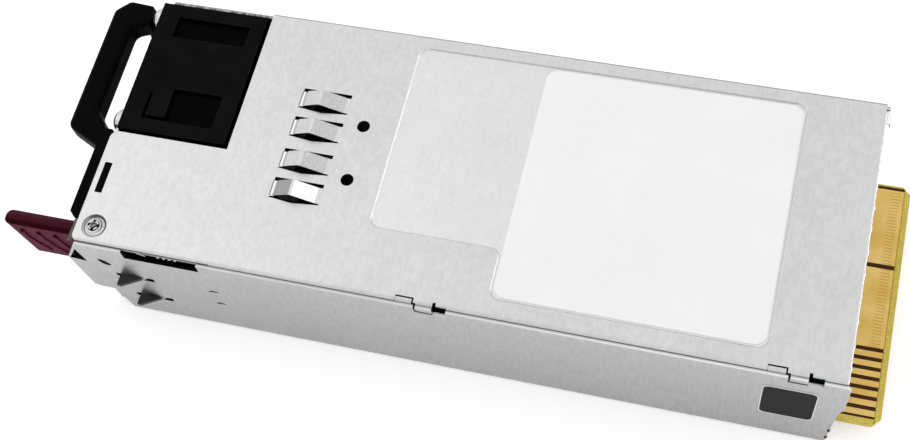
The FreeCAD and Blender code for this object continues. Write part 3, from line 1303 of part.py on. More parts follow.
def make_bulk_capacitors():
    """Two large electrolytics lying along the case, each held by a cradle on the board."""
    diameter = "((%s - package_thick - 3 * can_gap - can_near) / 2)" % WEB_Y
    length = "(%s - %s)" % (station(7.12), station(5.27))
    x, z = station(5.27), "(%s + can_rise + %s / 2)" % (BOARD_TOP, diameter)
    cans = []
    for number in range(2):
        y = "(can_near + %s / 2 + %d * (%s + can_gap))" % (diameter, number, diameter)
        can = less(rod("x", (x, y, z), length, diameter),
                   groove("x", (x + " + 2.4", y, z), "1.2", diameter + " + 1",
                          diameter + " - 1"))
        saddle = less(on_board((x + " + 8", x + " + 20"), ("%s - %s / 2 + 3" % (y, diameter),
                                                           "%s + %s / 2 - 3" % (y, diameter)),
                               "6"),
                      rod("x", (x, y, z), length, diameter))
        cans.append(together(can, saddle))
    finish(together(*cans), "bulk_capacitors")


def make_main_transformer():
    """E-cores round a wound bobbin that stands on its pins."""
    x = station(7.36)
    back, middle = x + " + core_length", x + " + core_length / 2"
    far = "(%s - core_inset)" % WEB_Y
    near = "(%s - core_width)" % far
    low, high = BOARD_TOP + " + core_pin", BOARD_TOP + " + core_pin + core_height"
    centre = "(%s + %s) / 2" % (near, far)
    window = (near + " + core_leg", far + " - core_leg")
    legs = [slab((x, back), (near, near + " + core_leg"), (low, high)),
            slab((x, back), (far + " - core_leg", far), (low, high)),
            slab((x, back), window, (low, low + " + core_limb")),
            slab((x, back), window, (high + " - core_limb", high)),
            rod("z", (middle, centre, low + " + core_limb"), "core_height - 2 * core_limb",
                "core_post")]
    finish(together(*legs), "transformer_core")
    start, height = low + " + core_limb + 0.2", "core_height - 2 * core_limb - 0.4"
    coil = less(rod("z", (middle, centre, start), height, "core_width - 2 * core_leg - 0.4"),
                rod("z", (middle, centre, start), height, "core_post + 0.2"))
    wings = [on_board(span_x, (near + " + 5", far + " - 5"), "core_pin + 6")
             for span_x in ((x + " - 3", x + " - 0.1"), (back + " + 0.1", back + " + 3"))]
    links = [slab(span_x, (centre + " - 3", centre + " + 3"),
                  (low + " + core_limb + 0.4", low + " + 6"))
             for span_x in ((x + " - 3", x + " + 4"), (back + " - 4", back + " + 3"))]
    finish(together(coil, *(wings + links)), "transformer_winding")


def make_standby_transformer():
    front = station(7.44)
    back = front + " + standby_length"
    far = WEB_Y + " - 5.5"
    near = far + " - standby_width"
    core = less(on_board((front, back), (near, far), "standby_height"),
                on_board((front, back), (near + " + 2.4", far + " - 2.4"),
                         "standby_height - 3", "3"))
    finish(core, "standby_core")
    coil = on_board((front + " + 2", back + " - 2"), (near + " + 2.4", far + " - 2.4"),
                    "standby_height - 3", "3")
    finish(coil, "standby_winding")


def make_output_capacitors():
    cans = []
    x = BOARD_REAR + " - 5"
    pitch = "(case_width - 32.7) / 4"
    for number in range(5):
        y = "14 + %d * %s" % (number, pitch)
        can = rod("z", (x, y, BOARD_TOP), "round_height", "round_diameter")
        bead = groove("z", (x, y, BOARD_TOP + " + round_height - 2.4"), "0.8",
                      "round_diameter + 1", "round_diameter - 0.6")
        cans.append(less(can, bead))
    finish(together(*cans), "output_capacitors")


def make_output_bars():
    """Two copper bars that stand on the board between the stages and the contacts."""
    bars = []
    span_x = (station(8.8), station(8.8) + " + bar_length")
    for inset in ("18.5", "8.5"):
        y = "%s - %s" % (WEB_Y, inset)
        bars.append(together(on_board(span_x, (y, y + " + bar_thick"), "bar_height"),
                             on_board(span_x, (y + " - bar_foot", y), "bar_thick")))
    finish(together(*bars), "output_bars")


def make_fan_lead():
    """Plug on the board for the fan, and its four wires from the back of the fan."""
    first = "(%s - %s / 2 + 0.9)" % (FAN_Y, FAN_WIDTH)
    plug_front = BOARD_FRONT + " + 0.6"
    plug = on_board((plug_front, plug_front + " + 5.4"), (first + " - 1.6", first + " + 6.4"),
                    "6.5")
    finish(plug, "fan_plug")
    wires = [rod("x", (FAN_BACK, "%s + %d * wire_pitch" % (first, number), BOARD_TOP + " + 2"),
                 "%s - %s" % (plug_front, FAN_BACK), "wire_diameter") for number in range(4)]
    finish(together(*wires), "fan_wires")


def make_control_board():
    front, back = station(5.8), station(9.3)
    face = "(control_y + control_thick)"
    finish(on_board((front, back), ("control_y", face), "control_height"), "control_board")
    chips = [on_board((front + " + %d" % a, front + " + %d" % b),
                      (face, face + " + chip_thick"), high, low)
             for a, b, low, high in ((4, 11, "9", "16"), (16, 22, "12", "17"),
                                     (27, 34, "6", "13"), (37, 43, "14", "20"))]
    finish(together(*chips), "control_chips")


# Labels -----------------------------------------------------------------------------------

def make_labels():
    """Bare labels: a pale one on the pressed field and a dark one on the side wall."""
    body = new_body("TopLabel")
    top = rectangle(sketch_on(body, "XY_Plane", "case_height - press_depth"),
                    ("press_step + label_clear", "press_end - label_clear"),
                    ("press_side + label_margin", PRESS_FAR + " - label_margin"))
    pad(body, top, "label_thick")
    soften(body, "Fillet", "label_radius", lambda edge: lies_at(edge, ALONG_Z))
    finish(body, "top_label")
    body = new_body("SideLabel")
    side = rectangle(wall_sketch(body, "-label_thick"),
                     ("side_label_front", "side_label_front + side_label_length"),
                     ("side_label_low", "side_label_high"))
    pad(body, side, "label_thick", back=True)
    soften(body, "Fillet", "label_radius / 2", lambda edge: lies_at(edge, ALONG_Y))
    finish(body, "side_label")


def make_all():
    for make in (
            make_chassis_tray, make_top_cover, make_cover_screw, make_front_plate,
            make_rear_vent_plate, make_handle, make_inlet, make_inlet_pins,
            make_inlet_leads, make_release_lever, make_latch_plate, make_latch_rivets,
            make_latch_pin, make_latch_spring, make_fan_gasket, make_fan_frame,
            make_fan_bearings, make_fan_stator, make_fan_rotor, make_fan_shaft,
            make_fan_screws, make_fan_lead, make_main_board, make_power_contacts,
            make_signal_contacts, make_insulating_sheet, make_board_standoffs,
            make_board_screws, make_light, make_fuse, make_relay, make_filter_capacitors,
            make_filter_chokes, make_boost_choke, make_heat_sinks, make_power_transistors,
            make_bridge_rectifier, make_bulk_capacitors, make_main_transformer,
            make_standby_transformer, make_output_capacitors, make_output_bars,
            make_control_board, make_labels):
        make()


def check_all():
    """Stop if any object failed or any sub-part has no sound solid."""
    for thing in doc.Objects:
        if "Invalid" in thing.State or "Error" in thing.State:
            raise ValueError("%s failed: %s" % (thing.Label, thing.getStatusString()))
    for thing in finished:
        shape = thing.Shape
        if shape.isNull() or not shape.isValid() or not shape.Solids:
            raise ValueError(thing.Label + " has no sound solid")


def write_all():
    os.makedirs("parts", exist_ok=True)
    for thing in finished:
        thing.Shape.exportStep("parts/%s.step" % thing.Label)
        print("%-24s %2d solids %10.2f mm3" % (thing.Label, len(thing.Shape.Solids),
                                               thing.Shape.Volume))


make_all()
doc.recompute()
check_all()
write_all()
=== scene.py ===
import math
import random

import bmesh
import bpy
from mathutils import Matrix, Vector


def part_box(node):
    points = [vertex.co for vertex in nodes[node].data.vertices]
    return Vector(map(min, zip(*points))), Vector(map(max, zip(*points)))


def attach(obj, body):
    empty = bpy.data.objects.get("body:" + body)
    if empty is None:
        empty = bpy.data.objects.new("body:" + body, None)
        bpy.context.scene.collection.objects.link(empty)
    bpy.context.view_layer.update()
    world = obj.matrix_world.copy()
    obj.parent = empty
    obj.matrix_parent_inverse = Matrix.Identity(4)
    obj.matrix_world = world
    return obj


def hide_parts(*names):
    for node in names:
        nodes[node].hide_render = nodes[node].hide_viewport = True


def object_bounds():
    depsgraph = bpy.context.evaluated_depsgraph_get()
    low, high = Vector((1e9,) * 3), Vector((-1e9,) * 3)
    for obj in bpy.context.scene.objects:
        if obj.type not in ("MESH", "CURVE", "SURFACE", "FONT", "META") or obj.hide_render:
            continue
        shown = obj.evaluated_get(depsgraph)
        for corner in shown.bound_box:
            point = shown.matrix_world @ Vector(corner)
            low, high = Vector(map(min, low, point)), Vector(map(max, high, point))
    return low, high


MM = 0.001
PER_METRE = 1000
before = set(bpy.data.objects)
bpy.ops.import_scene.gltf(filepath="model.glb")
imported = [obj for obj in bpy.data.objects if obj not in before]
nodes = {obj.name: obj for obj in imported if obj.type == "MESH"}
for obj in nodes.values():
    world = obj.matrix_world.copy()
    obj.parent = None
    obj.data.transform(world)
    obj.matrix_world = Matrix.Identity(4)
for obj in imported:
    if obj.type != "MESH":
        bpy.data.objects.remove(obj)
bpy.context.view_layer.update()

# The corner of the case that places are counted from: front, latch side, underside.
# The cover laps over the front plate by that plate's thickness.
PLATE = 0.8
CORNER = Vector((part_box("top_cover")[0].x + PLATE * MM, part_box("chassis_tray")[0].y, 0))


def at(x, y, z):
    """A point given in millimetres from the case's corner."""
    return CORNER + Vector((x, y, z)) * MM


def in_mm(node):
    """A node's box in millimetres."""
    return [corner * PER_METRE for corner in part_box(node)]


def middle_of(node):
    low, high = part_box(node)
    return (low + high) / 2


# Places that the materials paint by, in millimetres along the frame's own axes ---------

CORNER_MM = CORNER * PER_METRE
WALL_FRONT = CORNER_MM.x
CASE_HALF = -in_mm("chassis_tray")[0].y
COVER_TOP = in_mm("chassis_tray")[1].z
FAN_REAR = in_mm("fan_frame")[1].x + 1
SCREW = sum(in_mm("cover_screw"), Vector()) / 2
SCREW_HEAD = in_mm("cover_screw")[1].z
# Spans of distance from the cover screw's middle for its painted shade rings.
SCREW_RINGS = ((2.78, 3.12), (1.95, 2.2))

# Each latch tooth: its x, and the height at the wall that its painted reflection rises from.
TEETH = [(-82.6, 23.3), (-81.0, 11.4)]
TEETH_END = WALL_FRONT + 22
SLITS = (WALL_FRONT + 30, WALL_FRONT + 38)
LEVER_SIDE = in_mm("release_lever")[0].y
# The part of the lever that shows through the ear's window only, which gets a painted shade:
# below a height, and behind a span of x over which the painted shade fades in.
EAR_SHADE = 27
EAR_FADE = (WALL_FRONT - 7.0, WALL_FRONT - 6.2)

# The pushed-up bridges: their span of x, the flat ridge, and the middle of each in y.
LANCES = (WALL_FRONT + 45.0, WALL_FRONT + 58.6)
RIDGE = (WALL_FRONT + 50.75, WALL_FRONT + 51.35)
LANCE_ROW = [CORNER_MM.y + middle for middle in (24.45, 32.75, 42.05, 50.35)]
LAST_LANCE = LANCE_ROW[0] + 4
# Painted highlight and shade lines across each bridge's front foot: a span of x from the
# bridge's start, and a tone.
FOOT_LINES = ((0.62, 0.95, 0.97), (1.05, 1.22, 0.38), (0.2, 0.42, 0.12))

# Where each interlock of the cover and the wall starts, and the painted shade lines on its
# upper face: a span of x from that start, and a span of y from the case's corner.
LOCKS = [CORNER_MM.x + start for start in (83.4, 170.5)]
LOCK_LINES = (((-0.15, 4.35), (2.1, 2.5)), ((4.0, 4.4), (0.8, 2.4)), ((4.2, 5.1), (0.7, 1.2)))

SIDE_LABEL_LOW, SIDE_LABEL_HIGH = in_mm("side_label")
PADS_LOW, PADS_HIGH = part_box("signal_contacts")[0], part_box("power_contacts")[1]
PAD_SPAN = (PADS_LOW.y * PER_METRE, PADS_HIGH.y * PER_METRE)
PAD_END = PADS_HIGH.x * PER_METRE
BOARD_MIDDLE = (PADS_LOW.z + PADS_HIGH.z) / 2 * PER_METRE
POWER_START = in_mm("power_contacts")[0].y
TONGUE_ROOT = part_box("power_contacts")[0].x * PER_METRE

# The wipes on the gold pads: where they start and end, their pitch in millimetres, and
# their width as a share of it.
WIPE_START, WIPE_END = PAD_END - 4.4, PAD_END - 0.9
WIPE_PITCH = 0.88
WIPE_WIDTH = 0.26


# Camera -------------------------------------------------------------------------------

SENSOR_WIDTH = 36
LENS = 57.34
CAMERA_SPOT = (0.07179, -0.15220, 0.34976)
CAMERA_TURN = ((0.963238, -0.166895, 0.210518),
               (0.240688, 0.884211, -0.400299),
               (-0.119335, 0.436252, 0.891876))


def make_camera():
    """The camera at the photograph's viewing angle."""
    data = bpy.data.cameras.new("camera")
    data.sensor_width = SENSOR_WIDTH
    data.lens = LENS
    data.clip_start, data.clip_end = 0.01, 20
    camera = bpy.data.objects.new("camera", data)
    bpy.context.scene.collection.objects.link(camera)
    place = Matrix.Translation(Vector(CAMERA_SPOT))
    camera.matrix_world = place @ Matrix(CAMERA_TURN).to_4x4()
    bpy.context.scene.camera = camera


make_camera()


# Node materials -----------------------------------------------------------------------

class Graph:
    """A material's node tree, written as nested calls."""

    def __init__(self, name):
        self.material = bpy.data.materials.new(name)
        self.material.use_nodes = True
        self.tree = self.material.node_tree
        self.tree.nodes.clear()
        self.coords = self.add("ShaderNodeTexCoord").outputs["Object"]

    def add(self, kind, **settings):
        node = self.tree.nodes.new(kind)
        for name, setting in settings.items():
            setattr(node, name, setting)
        return node

    def put(self, socket, given):
        """Link an output to a socket, or set the socket's own number or colour."""
        if isinstance(given, bpy.types.NodeSocket):
            self.tree.links.new(given, socket)
        elif given is not None:
            socket.default_value = given

    def scaled(self, x, y, z):
        """Object coordinates in cycles per millimetre along each axis."""
        node = self.add("ShaderNodeMapping")
        self.put(node.inputs["Vector"], self.coords)
        node.inputs["Scale"].default_value = (x / MM, y / MM, z / MM)
        return node.outputs["Vector"]

    def even(self, scale):
        """Object coordinates in as many cycles per millimetre along every axis."""
        return self.scaled(scale, scale, scale)

    def place(self):
        """The x, y and z of a point in millimetres."""
        return self.separate(self.even(1))

    def noise(self, vector, detail=3, rough=0.5, warp=0.0):
        node = self.add("ShaderNodeTexNoise")
        self.put(node.inputs["Vector"], vector)
        node.inputs["Scale"].default_value = 1
        node.inputs["Detail"].default_value = detail
        node.inputs["Roughness"].default_value = rough
        node.inputs["Distortion"].default_value = warp
        return node.outputs["Fac"]

    def cells(self, vector, feature="F1", output="Distance"):
        node = self.add("ShaderNodeTexVoronoi", feature=feature)
        self.put(node.inputs["Vector"], vector)
        node.inputs["Scale"].default_value = 1
        return node.outputs[output]

    def math(self, kind, a, b=None, clamp=False):
        node = self.add("ShaderNodeMath", operation=kind, use_clamp=clamp)
        for socket, given in zip(node.inputs, (a, b)):
            self.put(socket, given)
        return node.outputs[0]

    def length(self, a, b):
        squares = [self.math("MULTIPLY", side, side) for side in (a, b)]
        return self.math("SQRT", self.math("ADD", *squares))

    def spread(self, fac, low, high, to_low=0.0, to_high=1.0):
        """Map a factor from one range to another, held at the ends."""
        node = self.add("ShaderNodeMapRange")
        for name, given in (("Value", fac), ("From Min", low), ("From Max", high),
                            ("To Min", to_low), ("To Max", to_high)):
            self.put(node.inputs[name], given)
        return node.outputs[0]

    def mix(self, fac, a, b):
        node = self.add("ShaderNodeMix", data_type="RGBA")
        for socket, given in ((node.inputs[0], fac), (node.inputs[6], a), (node.inputs[7], b)):
            if isinstance(given, tuple) and len(given) == 3:
                given = given + (1,)
            self.put(socket, given)
        return node.outputs[2]

    def ramp(self, fac, *stops):
        node = self.add("ShaderNodeValToRGB")
        self.put(node.inputs["Fac"], fac)
        while len(node.color_ramp.elements) < len(stops):
            node.color_ramp.elements.new(1)
        for element, (spot, colour) in zip(node.color_ramp.elements, stops):
            element.position = spot
            element.color = colour + (1,)
        return node.outputs["Color"]

    def separate(self, vector):
        node = self.add("ShaderNodeSeparateXYZ")
        self.put(node.inputs[0], vector)
        return node.outputs

    def rounded(self, radius):
        """The normal with edges rounded by a radius in millimetres."""
        node = self.add("ShaderNodeBevel", samples=4)
        node.inputs["Radius"].default_value = radius * MM
        return node.outputs["Normal"]

    def normal(self, radius, *bumps):
        """Rounded edges with bumps on top: each bump is a height and a depth in mm."""
        found = self.rounded(radius)
        for height, depth in bumps:
            bump = self.add("ShaderNodeBump")
            bump.inputs["Distance"].default_value = depth * MM
            bump.inputs["Strength"].default_value = 1
            self.put(bump.inputs["Height"], height)
            self.put(bump.inputs["Normal"], found)
            found = bump.outputs["Normal"]
        return found

    def worn(self, radius):
        """A mask of the sharp edges: how far a rounded normal turns from the true one."""
        true = self.add("ShaderNodeNewGeometry").outputs["Normal"]
        dot = self.add("ShaderNodeVectorMath", operation="DOT_PRODUCT")
        self.put(dot.inputs[0], self.rounded(radius))
        self.put(dot.inputs[1], true)
        return self.spread(self.all_but(dot.outputs["Value"]), 0.02, 0.12)

    def crevice_shade(self, reach, low=0.25, high=0.6):
        """A mask of deep gaps and inside corners, for painted shade."""
        node = self.add("ShaderNodeAmbientOcclusion", samples=12)
        node.inputs["Distance"].default_value = reach * MM
        return self.spread(node.outputs["AO"], low, high, 1.0, 0.0)

    def true_normal(self):
        return self.separate(self.add("ShaderNodeNewGeometry").outputs["Normal"])

    def both(self, *masks):
        """The product of several masks."""
        found = masks[0]
        for mask in masks[1:]:
            found = self.math("MULTIPLY", found, mask)
        return found

    def either(self, *masks):
        """The strongest of several masks."""
        found = masks[0]
        for mask in masks[1:]:
            found = self.math("MAXIMUM", found, mask)
        return found

    def all_but(self, mask):
        """The rest of a mask."""
        return self.math("SUBTRACT", 1.0, mask)

    def above(self, value, limit):
        return self.math("GREATER_THAN", value, limit)

    def below(self, value, limit):
        return self.math("LESS_THAN", value, limit)

    def between(self, value, low, high):
        return self.both(self.above(value, low), self.below(value, high))

    def surface(self, colour, rough, metal=0.0, normal=None, **others):
        shader = self.add("ShaderNodeBsdfPrincipled")
        if isinstance(colour, tuple) and len(colour) == 3:
            colour = colour + (1,)
        self.put(shader.inputs["Base Color"], colour)
        self.put(shader.inputs["Roughness"], rough)
        self.put(shader.inputs["Metallic"], metal)
        self.put(shader.inputs["Normal"], normal)
        for name, given in others.items():
            self.put(shader.inputs[name.replace("_", " ")], given)
        out = self.add("ShaderNodeOutputMaterial")
        self.put(out.inputs["Surface"], shader.outputs["BSDF"])
        return self.material


def grey(tone, cast=0.0):
    """A grey, with a faint blue cast where one is given."""
    return (tone, tone, tone + cast)


def tooth_shade(g):
    """Darkens each latch tooth, and paints a reflection of the tooth on the wall just above
    it.
    """
    x, y, z = g.place()
    outside = g.spread(y, -CASE_HALF - 0.2, -CASE_HALF - 0.02, 1.0, 0.0)
    on_wall = g.below(y, -CASE_HALF + 0.05)
    reflection_break = g.spread(g.noise(g.even(1.6), detail=4), 0.2, 0.8, 0.6, 0.95)
    shade_and_reflections = [g.both(outside, 0.93)]
    for tooth_x, tooth_z in TEETH:
        along = g.math("ABSOLUTE", g.math("SUBTRACT", x, tooth_x))
        above = g.math("SUBTRACT", z, tooth_z)
        peak = g.spread(along, 0.0, 2.9, 3.6, 0.2)
        fade = g.math("SUBTRACT", 1.0, g.math("DIVIDE", above, peak), clamp=True)
        shade_and_reflections.append(g.both(fade, g.above(above, 0.0), g.below(along, 3.3), on_wall, reflection_break))
    return g.either(*shade_and_reflections)


def lance_light_and_shade(g, colour):
    """Pressed bridges: painted shade on the rear slopes, painted highlight and shade lines
    across each front foot, painted black shade on the sheared edges and in a bow of the sheet
    before each bridge, and on the last bridge a painted reflection on its rear slope and
    painted shade on its front slope.
    """
    x, y, z = g.place()
    side = g.true_normal()[1]
    raised = g.above(z, COVER_TOP + 0.05)
    rear = g.both(raised, g.above(x, RIDGE[1]))
    front = g.both(raised, g.below(x, RIDGE[0]), g.above(x, LANCES[0]))
    last = g.below(y, LAST_LANCE)
    slope_noise = g.noise(g.even(1.7), detail=4, rough=0.7)
    slope = g.mix(g.spread(slope_noise, 0.35, 0.65), grey(0.50, 0.005), grey(0.64, 0.005))
    colour = g.mix(g.both(rear, g.all_but(last)), colour, slope)
    colour = g.mix(g.both(rear, last), colour, grey(0.98))
    colour = g.mix(g.both(front, last), colour, grey(0.36, 0.005))
    on_bridge = g.either(*[g.between(y, middle - 2.3, middle + 1.9) for middle in LANCE_ROW])
    foot = g.both(on_bridge, g.above(z, COVER_TOP - 0.1))
    for start, end, tone in FOOT_LINES:
        line = g.between(x, LANCES[0] + start, LANCES[0] + end)
        colour = g.mix(g.both(foot, line), colour, grey(tone))
    sheared = g.both(g.below(side, -0.5), g.above(z, COVER_TOP - 0.7),
                     g.between(x, *LANCES), g.above(y, -20))
    climb = g.spread(x, LANCES[0] + 0.4, RIDGE[1])
    fall = g.spread(x, RIDGE[1], LANCES[1] - 0.4, 1.0, 0.0)
    bow = g.math("MULTIPLY", g.math("MINIMUM", climb, fall), 0.6)
    bowed = g.either(*[g.both(g.below(y, middle - 2.75),
                              g.below(g.math("SUBTRACT", middle - 2.85, y), bow))
                       for middle in LANCE_ROW])
    bowed = g.both(bowed, g.between(x, *LANCES), g.above(z, COVER_TOP - 0.1))
    return g.mix(g.either(sheared, bowed), colour, grey(0.008))


def seam_shade(g):
    """Painted shade in the joints between the cover and the latch-side wall and round each
    interlock, a painted shadow that fades across the cover's lap, and painted shade on the
    sills of the wall's cuts.
    """
    x, y, z = g.place()
    top = g.above(z, COVER_TOP - 0.25)
    wall = g.below(y, -CASE_HALF + 0.06)
    found = []
    for start in LOCKS:
        for x_span, y_span in LOCK_LINES:
            found.append(g.both(top, g.between(x, *(start + value for value in x_span)),
                                g.between(y, *(CORNER_MM.y + value for value in y_span))))
        found.append(g.both(g.between(x, start + 4.65, start + 5.15),
                            g.above(z, COVER_TOP - 2.4), g.below(y, -CASE_HALF + 0.9)))
        found.append(g.both(wall, g.between(x, start + 4.8, start + 9.3),
                            g.between(z, COVER_TOP - 2.6, COVER_TOP - 1.75)))
    long_seam = g.both(top, g.between(y, CORNER_MM.y + 0.76, CORNER_MM.y + 1.0), 0.6)
    lap_shadow = g.both(top, g.above(y, CORNER_MM.y + 0.78),
                 g.spread(y, CORNER_MM.y + 0.8, CORNER_MM.y + 2.2, 0.42, 0.0),
                 g.spread(x, CORNER_MM.x + 20, CORNER_MM.x + 170, 1.0, 0.3))
    front_seam = g.both(top, g.between(y, CORNER_MM.y + 0.76, CORNER_MM.y + 1.15),
                        g.below(x, CORNER_MM.x + 36), 0.85)
    cut = g.both(g.above(g.true_normal()[2], 0.5), g.between(z, 3, COVER_TOP - 3),
                 g.between(y, -CASE_HALF - 0.02, -CASE_HALF + 1))
    sill = g.both(cut, g.either(g.above(z, COVER_TOP - 4), g.below(x, TEETH_END)))
    return g.either(*found, long_seam, lap_shadow, front_seam, sill)


def from_screw(g):
    """How far a point is from the cover screw's middle: along x, along y and straight."""
    x, y, _ = g.place()
    across, up = g.math("SUBTRACT", x, SCREW.x), g.math("SUBTRACT", y, SCREW.y)
    return across, up, g.length(across, up)


def screw_ring_shade(g):
    """Painted shade rings where the screw's head sits in its dimple, darker on the far side.
    """
    across, up, reach = from_screw(g)
    far = g.spread(g.math("ADD", across, up), -1.0, 1.5, 0.25, 0.95)
    top = g.above(g.place()[2], COVER_TOP - 1)
    return g.either(*[g.both(g.between(reach, *ring), far, top) for ring in SCREW_RINGS])


def screw_pit_shade(g):
    """Painted shade on one side of the cover screw's cross recess."""
    across, up, reach = from_screw(g)
    side = g.spread(g.math("SUBTRACT", across, up), -0.9, -0.1)
    recess_shade = g.below(g.place()[2], SCREW_HEAD - 0.12)
    return g.both(g.below(reach, 1.6), side, recess_shade)


def wall_shade_and_streaks(g, colour, z, facing):
    """Painted shade on upright faces, and on the latch-side wall a painted shade that deepens
    towards its foot, broken by brushed streaks.
    """
    upright_shade = g.spread(g.math("ABSOLUTE", facing[2]), 0.2, 0.7, 0.3, 0.0)
    colour = g.mix(upright_shade, colour, grey(0.42, 0.005))
    brushed = g.spread(g.noise(g.scaled(1.1, 0.3, 0.22), detail=5, rough=0.65), 0.3, 0.7,
                       -0.16, 0.16)
    foot_shade_and_streaks = g.math("ADD", g.spread(z, 0.0, COVER_TOP, 0.85, 0.48), brushed)
    return g.mix(g.both(g.below(facing[1], -0.7), foot_shade_and_streaks), colour, grey(0.30, 0.004))


def edge_light_and_shade(g, colour, place, upward, mottle):
    """Painted shade on the rolled hem behind the fan with a painted highlight on its outer
    edge, and a painted highlight band on the folded edge that the cover meets, brighter
    towards the rear and fading into painted shade next to the cover.
    """
    x, y, z = place
    hem = g.both(g.above(y, CASE_HALF - 0.85), g.below(x, FAN_REAR), g.above(z, 36.5), upward)
    colour = g.mix(hem, colour, g.ramp(mottle, (0.4, grey(0.10)), (0.6, grey(0.40))))
    colour = g.mix(g.both(hem, g.above(y, CASE_HALF - 0.28)), colour, grey(0.72))
    folded = g.both(upward, g.above(z, COVER_TOP - 0.1), g.below(y, -CASE_HALF + 0.78), 0.9)
    crest_light = g.mix(g.spread(x, CORNER_MM.x + 60, CORNER_MM.x + 150), grey(0.60), grey(0.84))
    crest_light = g.mix(g.spread(y, -CASE_HALF + 0.25, -CASE_HALF + 0.78), crest_light, grey(0.20))
    return g.mix(folded, colour, crest_light)


def galvanised_steel(name, tint=0.69, rough=0.34):
    """Zinc-coated sheet: fine rolling streaks, mottled spangle and soft edges, with painted
    highlights and shade on its edges, bridges, seams, crevices and the latch teeth.
    """
    g = Graph(name)
    x, y, z = g.place()
    facing = g.true_normal()
    upward = g.above(facing[2], 0.5)
    streaks = g.noise(g.scaled(2.6, 0.16, 0.16), detail=4, rough=0.65)
    fine = g.noise(g.scaled(9, 0.9, 0.9), detail=3, rough=0.6)
    mottle = g.noise(g.scaled(0.95, 0.6, 0.6), detail=4, rough=0.6)
    crystal = g.separate(g.cells(g.scaled(0.42, 0.3, 0.3), output="Color"))[0]
    cloud = g.noise(g.scaled(0.035, 0.05, 0.05), detail=4)
    shade = g.math("MULTIPLY", streaks, 0.14)
    for layer, weight in ((mottle, 0.34), (crystal, 0.04), (cloud, 0.12), (fine, 0.06)):
        shade = g.math("ADD", shade, g.math("MULTIPLY", layer, weight))
    low, high = tint * 0.80, tint * 1.06
    colour = g.ramp(shade, (0.18, (low, low, low * 1.005)), (0.50, (high, high, high * 1.003)))
    # Painted shade on upright faces and down the latch-side wall.
    colour = wall_shade_and_streaks(g, colour, z, facing)
    # A painted highlight line on the wall of the pressed field.
    pressed_highlight = g.both(g.between(z, COVER_TOP - 0.45, COVER_TOP - 0.3), g.above(x, -30), 0.3)
    colour = g.mix(pressed_highlight, colour, grey(0.92, 0.005))
    colour = g.mix(g.both(g.worn(0.3), 0.5), colour, grey(0.9, 0.01))
    # Painted highlights and shade on the pressed bridges.
    colour = lance_light_and_shade(g, colour)
    # Painted shade and highlights on the hem behind the fan and on the folded edge.
    colour = edge_light_and_shade(g, colour, (x, y, z), upward, mottle)
    # A pale painted highlight on the sills of the wall's slits.
    slit_highlight = g.both(upward, g.between(x, *SLITS), g.between(z, 10, 30),
                  g.below(y, -CASE_HALF + 1))
    colour = g.mix(slit_highlight, colour, grey(0.9))
    # Painted shade along the case's far top edge.
    far_edge_shade = g.both(g.above(y, CASE_HALF - 0.3), g.above(z, 37.5), 0.7)
    colour = g.mix(far_edge_shade, colour, grey(0.25))
    # Painted shade in the seams and on the sills of the wall's cuts.
    colour = g.mix(seam_shade(g), colour, grey(0.012))
    # Painted shade rings round the cover screw.
    colour = g.mix(screw_ring_shade(g), colour, grey(0.03))
    # Darkened latch teeth, and a painted reflection of each tooth on the wall above it.
    colour = g.mix(tooth_shade(g), colour, grey(0.010, 0.001))
    # Painted shade in crevices, kept off the slits' sills.
    colour = g.mix(g.both(g.crevice_shade(1.6), g.all_but(slit_highlight)), colour, grey(0.02))
    gloss = g.math("ADD", g.math("MULTIPLY", cloud, 0.10), g.math("MULTIPLY", crystal, 0.06))
    gloss = g.math("ADD", gloss, rough - 0.08)
    normal = g.normal(0.22, (streaks, 0.006), (mottle, 0.010), (fine, 0.0025))
    return g.surface(colour, gloss, 1.0, normal)


def moulded_black(name, tone, rough, radius, sheen, scale=2.6, recess=None):
    """Black moulded plastic: fine erosion grain, faint flow marks, paler rubbed edges, and
    painted shade on recess floors where a recess height is given.
    """
    g = Graph(name)
    pebble = g.noise(g.even(scale), detail=5, rough=0.6)
    flow = g.noise(g.scaled(0.05, 0.09, 0.07), detail=3, warp=1.2)
    dust = g.spread(g.noise(g.even(0.9), detail=6, rough=0.75), 0.62, 0.74)
    colour = g.ramp(flow, (0.35, grey(tone * 0.8)), (0.7, grey(tone * 1.35, tone * 0.05)))
    colour = g.mix(g.both(dust, 0.25), colour, grey(tone * 4))
    colour = g.mix(g.both(g.worn(radius * 1.2), 0.4), colour, grey(tone * 6))
    # Painted shade: recess floors below the given height turn near black.
    if recess is not None:
        recess_shade = g.below(g.place()[2], recess)
        colour = g.mix(recess_shade, colour, grey(0.0001))
    gloss = g.spread(g.math("ADD", pebble, g.math("MULTIPLY", flow, 0.6)), 0.5, 1.1,
                     rough - 0.08, rough + 0.12)
    normal = g.normal(radius, (pebble, 0.012))
    return g.surface(colour, gloss, 0.0, normal, Specular_IOR_Level=sheen)


